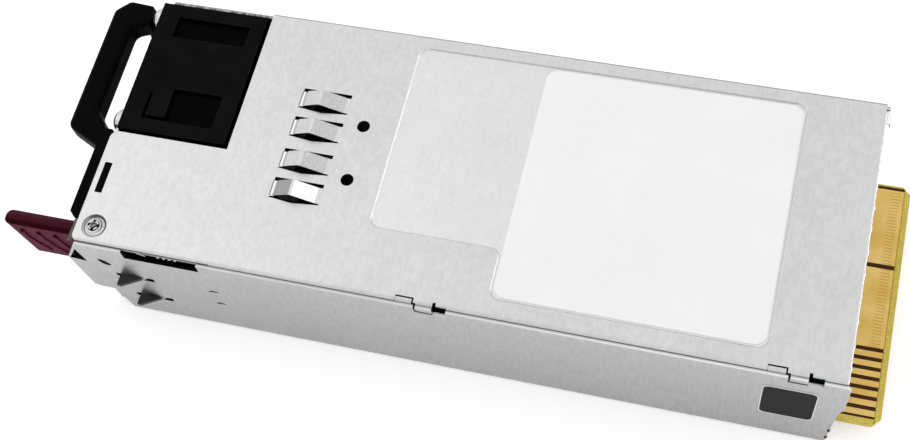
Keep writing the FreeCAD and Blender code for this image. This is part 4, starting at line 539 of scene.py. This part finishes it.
def maroon_plastic(name):
    """Maroon moulded plastic with a satin skin and dusty high spots; painted shade on its top
    faces and in its crevices, a painted highlight along the top's far edge, and painted shade
    over the part inside the case.
    """
    g = Graph(name)
    x, y, z = g.place()
    pebble = g.noise(g.even(3), detail=5, rough=0.6)
    flow = g.noise(g.scaled(0.08, 0.2, 0.12), detail=3, warp=1.5)
    colour = g.ramp(flow, (0.3, (0.103, 0.017, 0.036)), (0.7, (0.135, 0.024, 0.049)))
    # Painted shade on the top faces, darkest along the near edge, with a painted highlight
    # along the far edge.
    top = g.above(g.true_normal()[2], 0.6)
    near_edge_shade = g.spread(y, LEVER_SIDE + 2.7, LEVER_SIDE + 3.5, 1.0, 0.0)
    far = g.spread(y, LEVER_SIDE + 4.2, LEVER_SIDE + 5.2, 0.0, 0.6)
    colour = g.mix(g.both(top, 0.9), colour, (0.044, 0.0062, 0.0135))
    colour = g.mix(g.both(top, far), colour, (0.090, 0.026, 0.042))
    colour = g.mix(g.both(top, near_edge_shade, 0.94), colour, (0.021, 0.0004, 0.0024))
    dust = g.spread(g.noise(g.even(1.1), detail=6, rough=0.75), 0.6, 0.75)
    colour = g.mix(g.both(dust, 0.12), colour, (0.2, 0.09, 0.11))
    colour = g.mix(g.both(g.worn(0.4), 0.3), colour, (0.16, 0.035, 0.055))
    # Painted shade in crevices.
    colour = g.mix(g.crevice_shade(0.8, 0.35, 0.8), colour, (0.022, 0.002, 0.006))
    # Painted shade on the part of the lever inside the case and behind the ear's window.
    behind_ear = g.both(g.below(g.true_normal()[1], -0.5), g.below(z, EAR_SHADE),
                        g.spread(x, *EAR_FADE))
    inside_shade = g.either(behind_ear, g.spread(x, WALL_FRONT, WALL_FRONT + 0.5))
    colour = g.mix(inside_shade, colour, (0.002, 0.0015, 0.0015))
    gloss = g.either(g.spread(pebble, 0.3, 0.7, 0.4, 0.56), inside_shade)
    return g.surface(colour, gloss, 0.0, g.normal(0.3, (pebble, 0.01)),
                     Specular_IOR_Level=0.02)


def plated(name, colour=(0.72, 0.71, 0.7), rough=0.2):
    """Bright nickel or zinc plate with faint turning marks, and painted shade in its recesses
    and round the cover screw.
    """
    g = Graph(name)
    haze = g.noise(g.even(0.9), detail=4)
    turned = g.noise(g.even(7), detail=3, rough=0.7)
    dull = tuple(c * 0.72 for c in colour)
    mixed = g.ramp(haze, (0.3, dull), (0.62, colour))
    # Painted shade in recesses, in rings round the cover screw and on one side of its cross
    # recess.
    mixed = g.mix(g.crevice_shade(0.9, 0.3, 0.85), mixed, (0.012, 0.012, 0.013))
    mixed = g.mix(screw_ring_shade(g), mixed, grey(0.03))
    mixed = g.mix(screw_pit_shade(g), mixed, grey(0.012))
    gloss = g.spread(haze, 0.3, 0.75, rough + 0.12, rough - 0.04)
    return g.surface(mixed, gloss, 1.0, g.normal(0.12, (turned, 0.0016)))


def gold_plate(name):
    """Gold-plated pads, with the fine cross wipes that spring contacts leave near the tip."""
    g = Graph(name)
    cloud = g.noise(g.scaled(0.12, 0.16, 0.2), detail=4)
    fine = g.noise(g.scaled(5, 1.2, 3), detail=4, rough=0.65)
    x, y, _ = g.place()
    pitch = g.math("FRACT", g.math("DIVIDE", g.math("ADD", y, 100.0), WIPE_PITCH))
    away = g.math("ABSOLUTE", g.math("SUBTRACT", pitch, 0.5))
    line = g.math("SUBTRACT", 1.0, g.math("DIVIDE", away, WIPE_WIDTH), clamp=True)
    start = g.math("ADD", WIPE_START,
                   g.math("MULTIPLY", g.noise(g.scaled(0.0, 0.45, 0.0)), 1.6))
    long_enough = g.both(g.spread(g.math("SUBTRACT", x, start), 0.0, 0.7),
                         g.below(x, WIPE_END), g.above(y, POWER_START))
    ragged = g.spread(g.noise(g.scaled(0.5, 1.6, 1)), 0.3, 0.45, 0.35, 1.0)
    wipe = g.both(line, long_enough, ragged)
    colour = g.ramp(cloud, (0.3, (0.685, 0.44, 0.103)), (0.7, (0.82, 0.575, 0.196)))
    colour = g.mix(g.both(wipe, 0.6), colour, (0.36, 0.20, 0.03))
    gloss = g.math("ADD", g.spread(fine, 0.3, 0.7, 0.3, 0.44), g.both(wipe, 0.15))
    return g.surface(colour, gloss, 0.85, g.normal(0.03, (fine, 0.002)))


def circuit_board(name):
    """Solder mask over tracks, dark strips between the pads, bare resin at the cut edges, and
    a painted shadow on the resin just past the pads' ends.
    """
    g = Graph(name)
    x, y, z = g.place()
    weave = g.cells(g.even(1.6), feature="DISTANCE_TO_EDGE")
    tracks = g.noise(g.scaled(0.9, 0.14, 1), detail=0)
    track_line = g.spread(g.math("ABSOLUTE", g.math("SUBTRACT", tracks, 0.5)), 0.02, 0.05)
    mask = g.mix(track_line, (0.012, 0.075, 0.03), (0.006, 0.045, 0.018))
    resin = g.ramp(weave, (0.0, (0.62, 0.46, 0.06)), (0.25, (0.82, 0.66, 0.16)))
    stain = g.spread(g.noise(g.scaled(0.12, 0.2, 0.3), detail=4), 0.5, 0.7)
    resin = g.mix(g.both(stain, 0.3), resin, (0.46, 0.40, 0.07))
    # A painted shadow on the resin just past the pads' ends.
    pad_end_shadow = g.both(g.above(x, PAD_END - 0.1), g.spread(x, PAD_END, PAD_END + 0.35, 0.75, 0.0))
    resin = g.mix(pad_end_shadow, resin, (0.17, 0.105, 0.010))
    dark = g.ramp(g.noise(g.even(0.6)), (0.3, (0.040, 0.013, 0.001)),
                  (0.7, (0.075, 0.026, 0.003)))
    pad_low, pad_high = PAD_SPAN
    within = g.both(g.between(y, pad_low - 0.6, pad_high + 0.85), g.below(x, PAD_END))
    face = g.above(g.math("ABSOLUTE", g.math("SUBTRACT", z, BOARD_MIDDLE)), 0.74)
    tongue = g.mix(g.both(within, face), resin, dark)
    colour = g.mix(g.above(x, TONGUE_ROOT), mask, tongue)
    return g.surface(colour, g.spread(weave, 0.0, 0.3, 0.5, 0.4), 0.0,
                     g.normal(0.1, (weave, 0.004)), Specular_IOR_Level=0.12)


def rounded_rim(g, across, up, box, corner, width):
    """A mask of the rim inside a rounded rectangle, given its low and high ends both ways."""
    offsets = []
    for value, (low, high) in zip((across, up), box):
        away = g.math("ABSOLUTE", g.math("SUBTRACT", value, (low + high) / 2))
        offsets.append(g.math("MAXIMUM", g.math("SUBTRACT", away, (high - low) / 2 - corner),
                              0.0))
    return g.above(g.length(*offsets), corner - width)


def soft_sheet(name, colour, rough, grain, depth, rim=None, sheen=0.3):
    """A bare label of film or paper, with a faint fibre grain and a clean edge."""
    g = Graph(name)
    fibre = g.noise(g.even(grain), detail=5, rough=0.6)
    cloud = g.noise(g.even(0.06), detail=3)
    low = tuple(c * 0.965 for c in colour)
    tone = g.ramp(cloud, (0.35, low), (0.7, colour))
    tone = g.mix(g.spread(fibre, 0.55, 0.75, 0, 0.18), tone, tuple(c * 0.9 for c in colour))
    if rim is not None:
        x, _, z = g.place()
        tone = g.mix(rounded_rim(g, x, z, *rim), tone, grey(0.8))
    return g.surface(tone, g.spread(fibre, 0.3, 0.7, rough - 0.05, rough + 0.08), 0.0,
                     g.normal(0.05, (fibre, depth)), Specular_IOR_Level=sheen)


def foam(name):
    """Black foam with open pores."""
    g = Graph(name)
    pores = g.cells(g.even(2.2))
    colour = g.ramp(pores, (0.05, grey(0.0015)), (0.5, grey(0.006)))
    return g.surface(colour, 0.9, 0.0, g.normal(0.3, (pores, 0.12)), Specular_IOR_Level=0.02)


def wound_copper(name, colour=(0.56, 0.2, 0.07)):
    """Enamelled wire laid side by side, in turns that show as fine ridges."""
    g = Graph(name)
    x, _, z = g.place()
    lean = g.math("ADD", z, g.math("MULTIPLY", x, 0.35))
    turns = g.math("SINE", g.math("MULTIPLY", lean, 7.5))
    haze = g.noise(g.even(0.5), detail=4)
    dark = tuple(c * 0.55 for c in colour)
    tone = g.ramp(haze, (0.3, dark), (0.7, colour))
    return g.surface(tone, g.spread(haze, 0.3, 0.7, 0.3, 0.45), 0.7,
                     g.normal(0.1, (turns, 0.12)))


def dull_solid(name, colour, rough=0.55, scale=1.6, depth=0.02, metal=0.0, radius=0.2, **more):
    """Moulded, pressed or extruded stock: mottled tone, fine grain and rubbed edges."""
    g = Graph(name)
    grain = g.noise(g.even(scale), detail=5, rough=0.65)
    cloud = g.noise(g.even(0.09), detail=3)
    tone = g.ramp(cloud, (0.3, tuple(c * 0.82 for c in colour)), (0.7, colour))
    tone = g.mix(g.both(g.worn(radius), 0.3), tone,
                 tuple(min(c * 1.5 + 0.02, 1) for c in colour))
    return g.surface(tone, g.spread(grain, 0.3, 0.7, rough - 0.07, rough + 0.1), metal,
                     g.normal(radius, (grain, depth)), **more)


STEEL = galvanised_steel("galvanised_steel")
FAN_BLACK = moulded_black("fan_plastic", tone=0.0037, rough=0.34, radius=0.3, sheen=0.022,
                          recess=in_mm("fan_frame")[1].z - 0.3)
# A darkened copy of the plated steel: painted shade on the front lip.
SHADED_LIP_STEEL = plated("shaded_lip_steel", (0.105, 0.105, 0.107), 0.34)
# Dark maroon for the grip dots: painted shade.
GRIP_SHADE = dull_solid("grip_shade", (0.036, 0.003, 0.010), 0.5, 2, 0.01,
                       Specular_IOR_Level=0.03)
BRIGHT_STRIP = plated("bright_strip", grey(0.86), 0.26)
ROTOR_BLACK = moulded_black("rotor_plastic", tone=0.004, rough=0.34, radius=0.3, sheen=0.2)
HANDLE_BLACK = moulded_black("handle_plastic", tone=0.0012, rough=0.46, radius=0.5,
                             sheen=0.024)
INLET_BLACK = moulded_black("inlet_plastic", tone=0.004, rough=0.33, scale=4, radius=0.3,
                            sheen=0.2)
MAROON = maroon_plastic("maroon_plastic")
NICKEL = plated("nickel_plate")
GOLD = gold_plate("gold_plate")
BOARD = circuit_board("circuit_board")
FOAM = foam("foam_gasket")
COPPER = wound_copper("enamelled_wire")
FERRITE = dull_solid("ferrite", (0.03, 0.03, 0.032), 0.62, 1.2, 0.03)
ALUMINIUM = dull_solid("extruded_aluminium", (0.62, 0.62, 0.64), 0.34, 3, 0.006, 1.0)
SLEEVE = dull_solid("shrunk_sleeve", (0.012, 0.014, 0.03), 0.26, 0.8, 0.006, Coat_Weight=0.3)
GREY_BOX = dull_solid("moulded_box", (0.30, 0.30, 0.27), 0.4, 2.4, 0.008)
BLUE_DISC = dull_solid("dipped_disc", (0.03, 0.13, 0.42), 0.3, 1.1, 0.02)
CLEAR = dull_solid("light_guide", (0.82, 0.88, 0.84), 0.12, 0.4, 0.004,
                   Transmission_Weight=0.8, IOR=1.49)
FILM = dull_solid("winding_tape", (0.62, 0.5, 0.16), 0.32, 0.5, 0.01)
WHITE_LABEL = soft_sheet("pale_label", grey(0.93, 0.005), 0.42, 3, 0.003)
DARK_LABEL = soft_sheet("dark_label", grey(0.015, 0.0004), 0.5, 4, 0.006, sheen=0.04,
                        rim=(((SIDE_LABEL_LOW.x, SIDE_LABEL_HIGH.x),
                              (SIDE_LABEL_LOW.z, SIDE_LABEL_HIGH.z)), 1.9, 0.3))
WIRE = dull_solid("wire_insulation", grey(0.02), 0.38, 1.5, 0.01)

WEARS = {
    STEEL: ("chassis_tray", "top_cover", "front_plate", "rear_vent_plate", "latch_plate"),
    FAN_BLACK: ("fan_frame",),
    ROTOR_BLACK: ("fan_rotor",),
    HANDLE_BLACK: ("handle",),
    INLET_BLACK: ("ac_inlet", "power_transistors", "bridge_rectifier", "control_chips"),
    MAROON: ("release_lever",),
    NICKEL: ("cover_screw", "inlet_pins", "latch_rivets", "latch_pin", "latch_spring",
             "fan_bearings", "fan_shaft", "fan_screws", "board_standoffs", "board_screws"),
    GOLD: ("power_contacts", "signal_contacts"),
    BOARD: ("main_board", "control_board"),
    FOAM: ("fan_gasket",),
    COPPER: ("fan_stator", "filter_choke_windings", "boost_choke_winding", "output_bars"),
    FERRITE: ("filter_choke_cores", "boost_choke_core", "transformer_core", "standby_core"),
    ALUMINIUM: ("primary_heat_sink", "secondary_heat_sink"),
    SLEEVE: ("bulk_capacitors", "output_capacitors"),
    GREY_BOX: ("fuse", "relay", "x_capacitors", "fan_plug", "status_light"),
    BLUE_DISC: ("y_capacitors",),
    CLEAR: ("light_pipe",),
    FILM: ("transformer_winding", "standby_winding", "insulating_sheet"),
    WHITE_LABEL: ("top_label",),
    DARK_LABEL: ("side_label",),
    WIRE: ("fan_wires", "inlet_leads"),
}


def dress():
    """Give every CAD node its material."""
    for material, names in WEARS.items():
        for name in names:
            mesh = nodes[name].data
            mesh.materials.clear()
            mesh.materials.append(material)


dress()


# Pieces -------------------------------------------------------------------------------

def piece(name, build, material, body, smooth=True):
    """An object from a bmesh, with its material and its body."""
    bmesh.ops.recalc_face_normals(build, faces=build.faces)
    mesh = bpy.data.meshes.new(name)
    build.to_mesh(mesh)
    build.free()
    for face in mesh.polygons:
        face.use_smooth = smooth
    made = bpy.data.objects.new(name, mesh)
    bpy.context.scene.collection.objects.link(made)
    mesh.materials.append(material)
    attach(made, body)
    return made


def loop_of(build, points):
    return [build.verts.new(point) for point in points]


def skin(build, loops):
    """Quads between closed rows of vertices of the same length, and a face over each end."""
    for first, second in zip(loops, loops[1:]):
        for k in range(len(first)):
            ahead = (k + 1) % len(first)
            build.faces.new((first[k], first[ahead], second[ahead], second[k]))
    build.faces.new(loops[0])
    build.faces.new(loops[-1])


def tube(build, path, radius):
    """A round wire along a list of points, with domed ends."""
    count, sides = len(path), 8
    tangents = [(path[min(k + 1, count - 1)] - path[max(k - 1, 0)]).normalized()
                for k in range(count)]
    across = tangents[0].orthogonal().normalized()
    rows = []
    for point, along in zip(path, tangents):
        across = (across - along * across.dot(along)).normalized()
        up = along.cross(across)
        rows.append((point, along, across, up))

    def row(spot, scale, shift):
        point, along, across, up = spot
        turns = [2 * math.pi * k / sides for k in range(sides)]
        return loop_of(build, [point + along * shift
                               + (across * math.cos(t) + up * math.sin(t)) * radius * scale
                               for t in turns])

    loops = [row(rows[0], 0.55, -radius * 0.45)]
    loops += [row(spot, 1, 0) for spot in rows]
    loops.append(row(rows[-1], 0.55, radius * 0.45))
    skin(build, loops)


def lathe(build, profile, spot, axis, sides):
    """A solid of revolution at a spot, from (radius, height) pairs along +x or -y."""
    turn = {"x": Matrix.Rotation(math.pi / 2, 4, "Y"),
            "y": Matrix.Rotation(math.pi / 2, 4, "X")}[axis]
    loops = []
    for radius, height in profile:
        points = [Vector((radius * math.cos(2 * math.pi * k / sides),
                          radius * math.sin(2 * math.pi * k / sides), height)) * MM
                  for k in range(sides)]
        loops.append(loop_of(build, [spot + turn @ point for point in points]))
    skin(build, loops)


def strip(build, path, width, thick):
    """A bent flat strip: a path of (x, z) pairs, a span of y, and a thickness."""
    low, high = width
    count = len(path)
    loops = []
    for k, (x, z) in enumerate(path):
        ahead, behind = path[min(k + 1, count - 1)], path[max(k - 1, 0)]
        run = Vector((ahead[0] - behind[0], ahead[1] - behind[1])).normalized()
        off = Vector((-run.y, run.x)) * thick / 2
        loops.append(loop_of(build, [
            at(x + off.x, low, z + off.y), at(x + off.x, high, z + off.y),
            at(x - off.x, high, z - off.y), at(x - off.x, low, z - off.y)]))
    skin(build, loops)


def block(build, low, high, bevel):
    """A small moulded block between two corners, with chamfered edges."""
    made = bmesh.ops.create_cube(build, size=1)["verts"]
    middle, span = (low + high) / 2, high - low
    for vert in made:
        vert.co = middle + Vector(c * d for c, d in zip(vert.co, span))
    edges = {edge for vert in made for edge in vert.link_edges}
    bmesh.ops.bevel(build, geom=list(edges), offset=bevel * MM, segments=2, affect="EDGES")


def grip_dots():
    """A dome at the head of each grip rib, in a dark maroon that is painted shade, seated
    where the rib's face is.
    """
    low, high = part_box("release_lever")
    first, pitch, drop = 4.25, 4.6, 2.7
    build = bmesh.new()
    for number in range(3):
        x, z = low.x + (first + pitch * number) * MM, high.z - drop * MM
        start = Vector((x, low.y - 0.01, z))
        _, spot, _, _ = nodes["release_lever"].ray_cast(start, Vector((0, 1, 0)))
        lathe(build, [(0.52, -0.15), (0.52, 0.03), (0.44, 0.12), (0.26, 0.19), (0.08, 0.21)],
              spot, "y", 14)
    piece("grip_dots", build, GRIP_SHADE, "lever")


def shield_strip():
    """A rounded contact strip along the cover's rear edge, pressed into low bumps."""
    chance = random.Random(7)
    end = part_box("top_cover")[1].x / MM - CORNER.x / MM
    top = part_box("chassis_tray")[1].z / MM
    first, last, step = 1.2, 71.4, 0.3
    bump_first, bump_pitch, edge = 5.0, 5.8, 0.36
    bumps = [(bump_first + bump_pitch * number + chance.uniform(-0.3, 0.3),
              chance.uniform(0.12, 0.3), chance.uniform(0.5, 0.9)) for number in range(12)]
    build = bmesh.new()
    loops = []
    for number in range(int((last - first) / step) + 1):
        y = first + step * number
        swell = sum(rise * max(0.0, 1 - abs(y - middle) / half) ** 0.5
                    for middle, rise, half in bumps)
        reach = edge + swell
        round_edge = [(end + reach * math.sin(turn), top - 0.42 + 0.4 * math.cos(turn))
                      for turn in (math.radians(18 * k) for k in range(6))]
        profile = ([(end - 0.25, top - 0.02)] + round_edge
                   + [(end + reach * 0.8, top - 1.1), (end + 0.02, top - 1.3),
                      (end - 0.25, top - 1.1)])
        loops.append(loop_of(build, [at(x, y, z) for x, z in profile]))
    skin(build, loops)
    piece("shield_strip", build, BRIGHT_STRIP, "case")


def corner_lips():
    """The folded lip over the lever's root, in a darkened steel that is painted shade, and the
    tab at the far rear corner.
    """
    build = bmesh.new()
    strip(build, [(-0.85, 37.98), (-1.7, 37.96), (-2.1, 37.78), (-2.3, 37.4)], (1.2, 7.0),
          0.24)
    piece("front_lip", build, SHADED_LIP_STEEL, "case", smooth=False)
    build = bmesh.new()
    strip(build, [(187.3, 37.5), (188.5, 37.5), (189.2, 37.1), (189.4, 35.9)], (69.0, 72.65),
          0.34)
    piece("rear_tab", build, STEEL, "case", smooth=False)


def rear_edge_blocks():
    """Two small black blocks that stand out from the latch-side wall's rear edge."""
    build = bmesh.new()
    for x, z in ((187.15, 3.4), (187.35, 8.6)):
        block(build, at(x - 0.5, -0.1, z - 0.9), at(x + 0.22, 0.5, z + 0.9), 0.1)
    piece("rear_edge_blocks", build, INLET_BLACK, "case")


def slot_shade_plug():
    """A black domed piece in the ear's slanted slot, a little proud of the wall, put in as the
    slot's shade.
    """
    x, z, half_long, half_wide = 5.65, 30.1, 1.6, 0.85
    slant, sides = 0.7071, 24
    build = bmesh.new()
    loops = []
    for scale, proud in ((1.0, -0.3), (1.0, 0.06), (0.85, 0.14), (0.5, 0.18), (0.12, 0.19)):
        points = []
        for k in range(sides):
            turn = 2 * math.pi * k / sides
            along = half_long * scale * math.cos(turn)
            across = half_wide * scale * math.sin(turn)
            points.append(at(x + (along + across) * slant, -proud,
                             z + (across - along) * slant))
        loops.append(loop_of(build, points))
    skin(build, loops)
    piece("slot_shade_plug", build, HANDLE_BLACK, "case")


def notch_clip():
    """The bright edge of a clip and four spring tips that show in the side wall's notch."""
    tip_first, tip_pitch = 21.4, 1.5
    build = bmesh.new()
    tube(build, [at(14.6, 1.5, 38.0), at(16.5, 1.3, 37.3), at(18.6, 1.2, 36.5)], 0.14 * MM)
    for number in range(4):
        x = tip_first + tip_pitch * number
        strip(build, [(x, 35.9), (x + 0.25, 36.6), (x + 0.7, 36.8), (x + 0.95, 36.3)],
              (1.2, 2.0), 0.12)
    piece("notch_clip", build, NICKEL, "case")


def round_spring():
    """The latch's torsion spring in round wire: the coil, and a leg to the arm and the lug."""
    low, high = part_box("latch_spring")
    wire, radius, steps = 0.3, 1.62, 20
    last = 4 * steps
    margin, hook, leg, foot = 1.2, 2.2, 2.6, 1.6
    rise = (high.z - low.z) / MM - 2 * wire - 2 * margin
    base = middle_of("latch_pin")
    base.z = low.z + (wire + margin) * MM
    x, y = low.x + wire * MM, high.y - wire * MM
    path = [Vector((x, y, base.z + (rise - hook) * MM)), Vector((x, y, base.z + rise * MM))]
    for k in range(last + 1):
        turn = math.pi / 2 + 2 * math.pi * k / steps
        path.append(base + Vector((radius * math.cos(turn), radius * math.sin(turn),
                                   rise * (1 - k / last))) * MM)
    path.append(base + Vector((leg, radius, 0)) * MM)
    path.append(base + Vector((leg, radius, -foot)) * MM)
    build = bmesh.new()
    tube(build, path, wire * MM)
    made = piece("torsion_spring", build, NICKEL, "lever")
    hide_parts("latch_spring")


def winding(build, middle, axis, core, wire, first, last, turns):
    """Turns of wire round a ring core's section, from one angle to another."""
    outer, inner, thick = core
    points = []
    steps, flat = 16, 0.35
    half_r, half_t = (outer - inner) / 4 + wire / 2, thick / 2 + wire / 2
    centre_r = (outer + inner) / 4
    for k in range(turns * steps + 1):
        turn = first + (last - first) * k / (turns * steps)
        around = 2 * math.pi * k / steps
        c, s = math.cos(around), math.sin(around)
        radial = centre_r + half_r * math.copysign(abs(c) ** flat, c)
        along = half_t * math.copysign(abs(s) ** flat, s)
        x, y = radial * math.cos(turn), radial * math.sin(turn)
        points.append(middle + Vector((x, along, y) if axis == "y" else (x, y, along)) * MM)
    tube(build, points, wire / 2 * MM)
    return points[0], points[-1]


def choke_windings():
    """Both filter chokes: a coil on each side of the ring, its ends led down to the board."""
    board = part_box("main_board")[1].z
    low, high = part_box("filter_choke_cores")
    core, wire, half_turn, lead = (17, 9, 6), 1.3, math.radians(58), 4.3
    build = bmesh.new()
    rise, width = high.z - low.z, core[2] * MM
    for x, y in ((low.x + rise / 2, low.y + width / 2),
                 (high.x - rise / 2, high.y - width / 2)):
        middle = Vector((x, y, (low.z + high.z) / 2))
        for side, across in ((0, 1), (math.pi, -1)):
            ends = winding(build, middle, "y", core, wire,
                           side - half_turn, side + half_turn, 7)
            foot = min(ends, key=lambda end: end.z)
            lead_x = x + across * lead * MM
            tube(build, [foot, foot + Vector((0, 0, -1.2 * MM)),
                         Vector((lead_x, y, board + 2.4 * MM)), Vector((lead_x, y, board))],
                 0.6 * MM)
    made = piece("filter_coils", build, COPPER, "case")
    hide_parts("filter_choke_windings")


def boost_winding():
    """The boost choke's heavy coil and the plate that it stands on."""
    middle = middle_of("boost_choke_core")
    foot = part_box("boost_choke_winding")[0].z
    build = bmesh.new()
    ends = winding(build, middle, "z", (23, 12, 9), 1.7,
                   math.radians(24), math.radians(336), 15)
    for end in ends:
        away = Vector((1.2 * MM, 0, 0))
        tube(build, [end, end + away + Vector((0, 0, -1.5 * MM)),
                     Vector((end.x + 2 * away.x, end.y, foot))], 0.8 * MM)
    made = piece("boost_coil", build, COPPER, "case")
    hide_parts("boost_choke_winding")
    build = bmesh.new()
    half = Vector((12, 12, 0)) * MM
    block(build, Vector((middle.x, middle.y, foot)) - half,
          Vector((middle.x, middle.y, foot + 1.6 * MM)) + half, 0.4)
    piece("boost_base", build, INLET_BLACK, "case")


def can_tops():
    """Scored aluminium ends that show inside the capacitors' sleeves."""
    low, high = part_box("output_capacitors")
    build = bmesh.new()
    cans, across = 5, high.x - low.x
    pitch = (high.y - low.y - across) / (cans - 1)
    for number in range(cans):
        spot = Vector(((low.x + high.x) / 2, low.y + across / 2 + pitch * number, high.z))
        for quarter in range(4):
            petal(build, spot, 3.3, quarter * math.pi / 2)
    piece("can_tops", build, ALUMINIUM, "case", smooth=False)


def petal(build, spot, reach, start):
    """A quarter of a can's end: the score lines are the gaps between quarters."""
    steps, gap = 6, 0.12
    diagonal = start + math.pi / 4
    hub = spot + Vector((math.cos(diagonal), math.sin(diagonal), 0)) * gap * 1.4 * MM
    turns = [start + (0.04 + 0.92 * k / steps) * math.pi / 2 for k in range(steps + 1)]
    rim = [spot + Vector((math.cos(turn), math.sin(turn), 0)) * reach * MM for turn in turns]
    rows = [loop_of(build, [point + Vector((0, 0, rise * MM)) for point in [hub] + rim])
            for rise in (-0.1, 0.12)]
    skin(build, rows)


def hub_ring():
    """Moulded ring and injection mark on the front of the fan's hub."""
    spot = middle_of("fan_rotor")
    spot.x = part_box("fan_rotor")[0].x
    build = bmesh.new()
    lathe(build, [(5.2, 0.1), (5.2, -0.12), (5.05, -0.22), (4.65, -0.22), (4.5, -0.12),
                  (4.5, 0.1)], spot, "x", 48)
    lathe(build, [(1.3, 0.1), (1.25, -0.08), (0.9, -0.14), (0.3, -0.16)], spot, "x", 24)
    piece("hub_ring", build, ROTOR_BLACK, "rotor")


# Small parts by length, width and height in millimetres, and how many each board has.
SMALL, MEDIUM, LARGE = (1.6, 0.8, 0.45), (2, 1.25, 0.5), (3.2, 1.6, 0.6)
BOARD_PARTS, CARD_ROWS, CARD_COLUMNS = 34, 2, 13


def small_parts():
    """Small parts soldered to the boards: dark bodies and their bright end caps."""
    chance = random.Random(19)
    bodies, ends = bmesh.new(), bmesh.new()
    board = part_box("main_board")[1].z
    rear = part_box("output_capacitors")[0].x
    card_low, card_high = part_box("control_board")
    for _ in range(BOARD_PARTS):
        long, wide, tall = chance.choice((MEDIUM, LARGE, SMALL))
        half = Vector((long / 2, wide / 2, 0)) * MM
        spot = Vector((rear - chance.uniform(3, 12) * MM,
                       chance.uniform(-0.026, 0.004), board))
        solder_part(bodies, ends, spot, half, Vector((0, 0, tall * MM)))
    for number in range(CARD_ROWS * CARD_COLUMNS):
        long, wide, tall = chance.choice((MEDIUM, SMALL))
        half = Vector((long / 2, 0, wide / 2)) * MM
        row, column = divmod(number, CARD_COLUMNS)
        spot = Vector((card_low.x + (2.5 + 3.7 * column) * MM, card_high.y,
                       card_low.z + (2.4 + 2.1 * row) * MM))
        solder_part(bodies, ends, spot, half, Vector((0, tall * MM, 0)))
    piece("small_parts", bodies, INLET_BLACK, "case")
    piece("small_part_ends", ends, NICKEL, "case")


def solder_part(bodies, ends, spot, half, tall):
    """One part flat on a board: its body between two end caps that stand a little proud."""
    cap = Vector((half.x * 0.4, 0, 0))
    block(bodies, spot - half + cap, spot + half - cap + tall, 0.06)
    for side in (-1, 1):
        middle = spot + Vector((half.x, 0, 0)) * side * 0.8
        reach = Vector((half.x * 0.22, half.y, half.z))
        block(ends, middle - reach, middle + reach + tall * 1.08, 0.08)


grip_dots()
shield_strip()
corner_lips()
rear_edge_blocks()
slot_shade_plug()
notch_clip()
round_spring()
choke_windings()
boost_winding()
can_tops()
hub_ring()
small_parts()


# Stage --------------------------------------------------------------------------------

# The rays that see the floor and the world as white, as a photographed background is.
SEEN_BY = ("Is Camera Ray", "Is Glossy Ray", "Is Transmission Ray")
# The floor's glow to those rays, and how far it lies below the object in metres.
FLOOR_GLOW, FLOOR_DROP = 0.42, 0.0001
WORLD_LIGHT, WORLD_SEEN = 0.92, 1.0


def pale_floor():
    """A plain pale floor that keeps a soft shadow and reads as white to the camera."""
    mesh = bpy.data.meshes.new("floor")
    build = bmesh.new()
    bmesh.ops.create_grid(build, x_segments=1, y_segments=1, size=6)
    build.to_mesh(mesh)
    build.free()
    floor = bpy.data.objects.new("floor", mesh)
    floor.location.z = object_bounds()[0].z - FLOOR_DROP
    bpy.context.scene.collection.objects.link(floor)
    g = Graph("floor")
    path = g.add("ShaderNodeLightPath")
    seen = g.either(*[path.outputs[ray] for ray in SEEN_BY])
    glow = g.add("ShaderNodeEmission")
    g.put(glow.inputs["Color"], (1, 1, 1, 1))
    g.put(glow.inputs["Strength"], g.both(seen, FLOOR_GLOW))
    matte = g.add("ShaderNodeBsdfDiffuse")
    g.put(matte.inputs["Color"], (0.82, 0.82, 0.82, 1))
    both = g.add("ShaderNodeAddShader")
    g.put(both.inputs[0], glow.outputs[0])
    g.put(both.inputs[1], matte.outputs[0])
    out = g.add("ShaderNodeOutputMaterial")
    g.put(out.inputs["Surface"], both.outputs[0])
    mesh.materials.append(g.material)


def soft_lamp(name, spot, target, size, power):
    """A rectangular lamp at a spot, turned towards a target."""
    data = bpy.data.lights.new(name, "AREA")
    data.shape = "RECTANGLE"
    data.size, data.size_y = size
    data.energy = power
    lamp = bpy.data.objects.new(name, data)
    lamp.location = spot
    lamp.rotation_euler = (Vector(target) - Vector(spot)).to_track_quat("-Z", "Y").to_euler()
    bpy.context.scene.collection.objects.link(lamp)


def pale_world():
    """An even white world that lights a little less brightly than it is seen."""
    world = bpy.data.worlds.new("studio")
    world.use_nodes = True
    tree = world.node_tree
    back = next(n for n in tree.nodes if n.type == "BACKGROUND")
    back.inputs["Color"].default_value = (1, 1, 1, 1)
    path = tree.nodes.new("ShaderNodeLightPath")
    level = tree.nodes.new("ShaderNodeMapRange")
    level.inputs["To Min"].default_value = WORLD_LIGHT
    level.inputs["To Max"].default_value = WORLD_SEEN
    found = path.outputs[SEEN_BY[0]]
    for ray in SEEN_BY[1:]:
        either = tree.nodes.new("ShaderNodeMath")
        either.operation = "MAXIMUM"
        tree.links.new(found, either.inputs[0])
        tree.links.new(path.outputs[ray], either.inputs[1])
        found = either.outputs[0]
    tree.links.new(found, level.inputs["Value"])
    tree.links.new(level.outputs[0], back.inputs["Strength"])
    bpy.context.scene.world = world


pale_floor()
pale_world()
soft_lamp("key", (-0.9, 0.25, 1.1), (0, 0, 0), (0.9, 0.9), 1.0)
soft_lamp("rim", (1.1, 0.45, 0.3), (0, 0, 0.02), (0.8, 0.25), 1.1)
bpy.context.scene.view_settings.view_transform = "Standard"
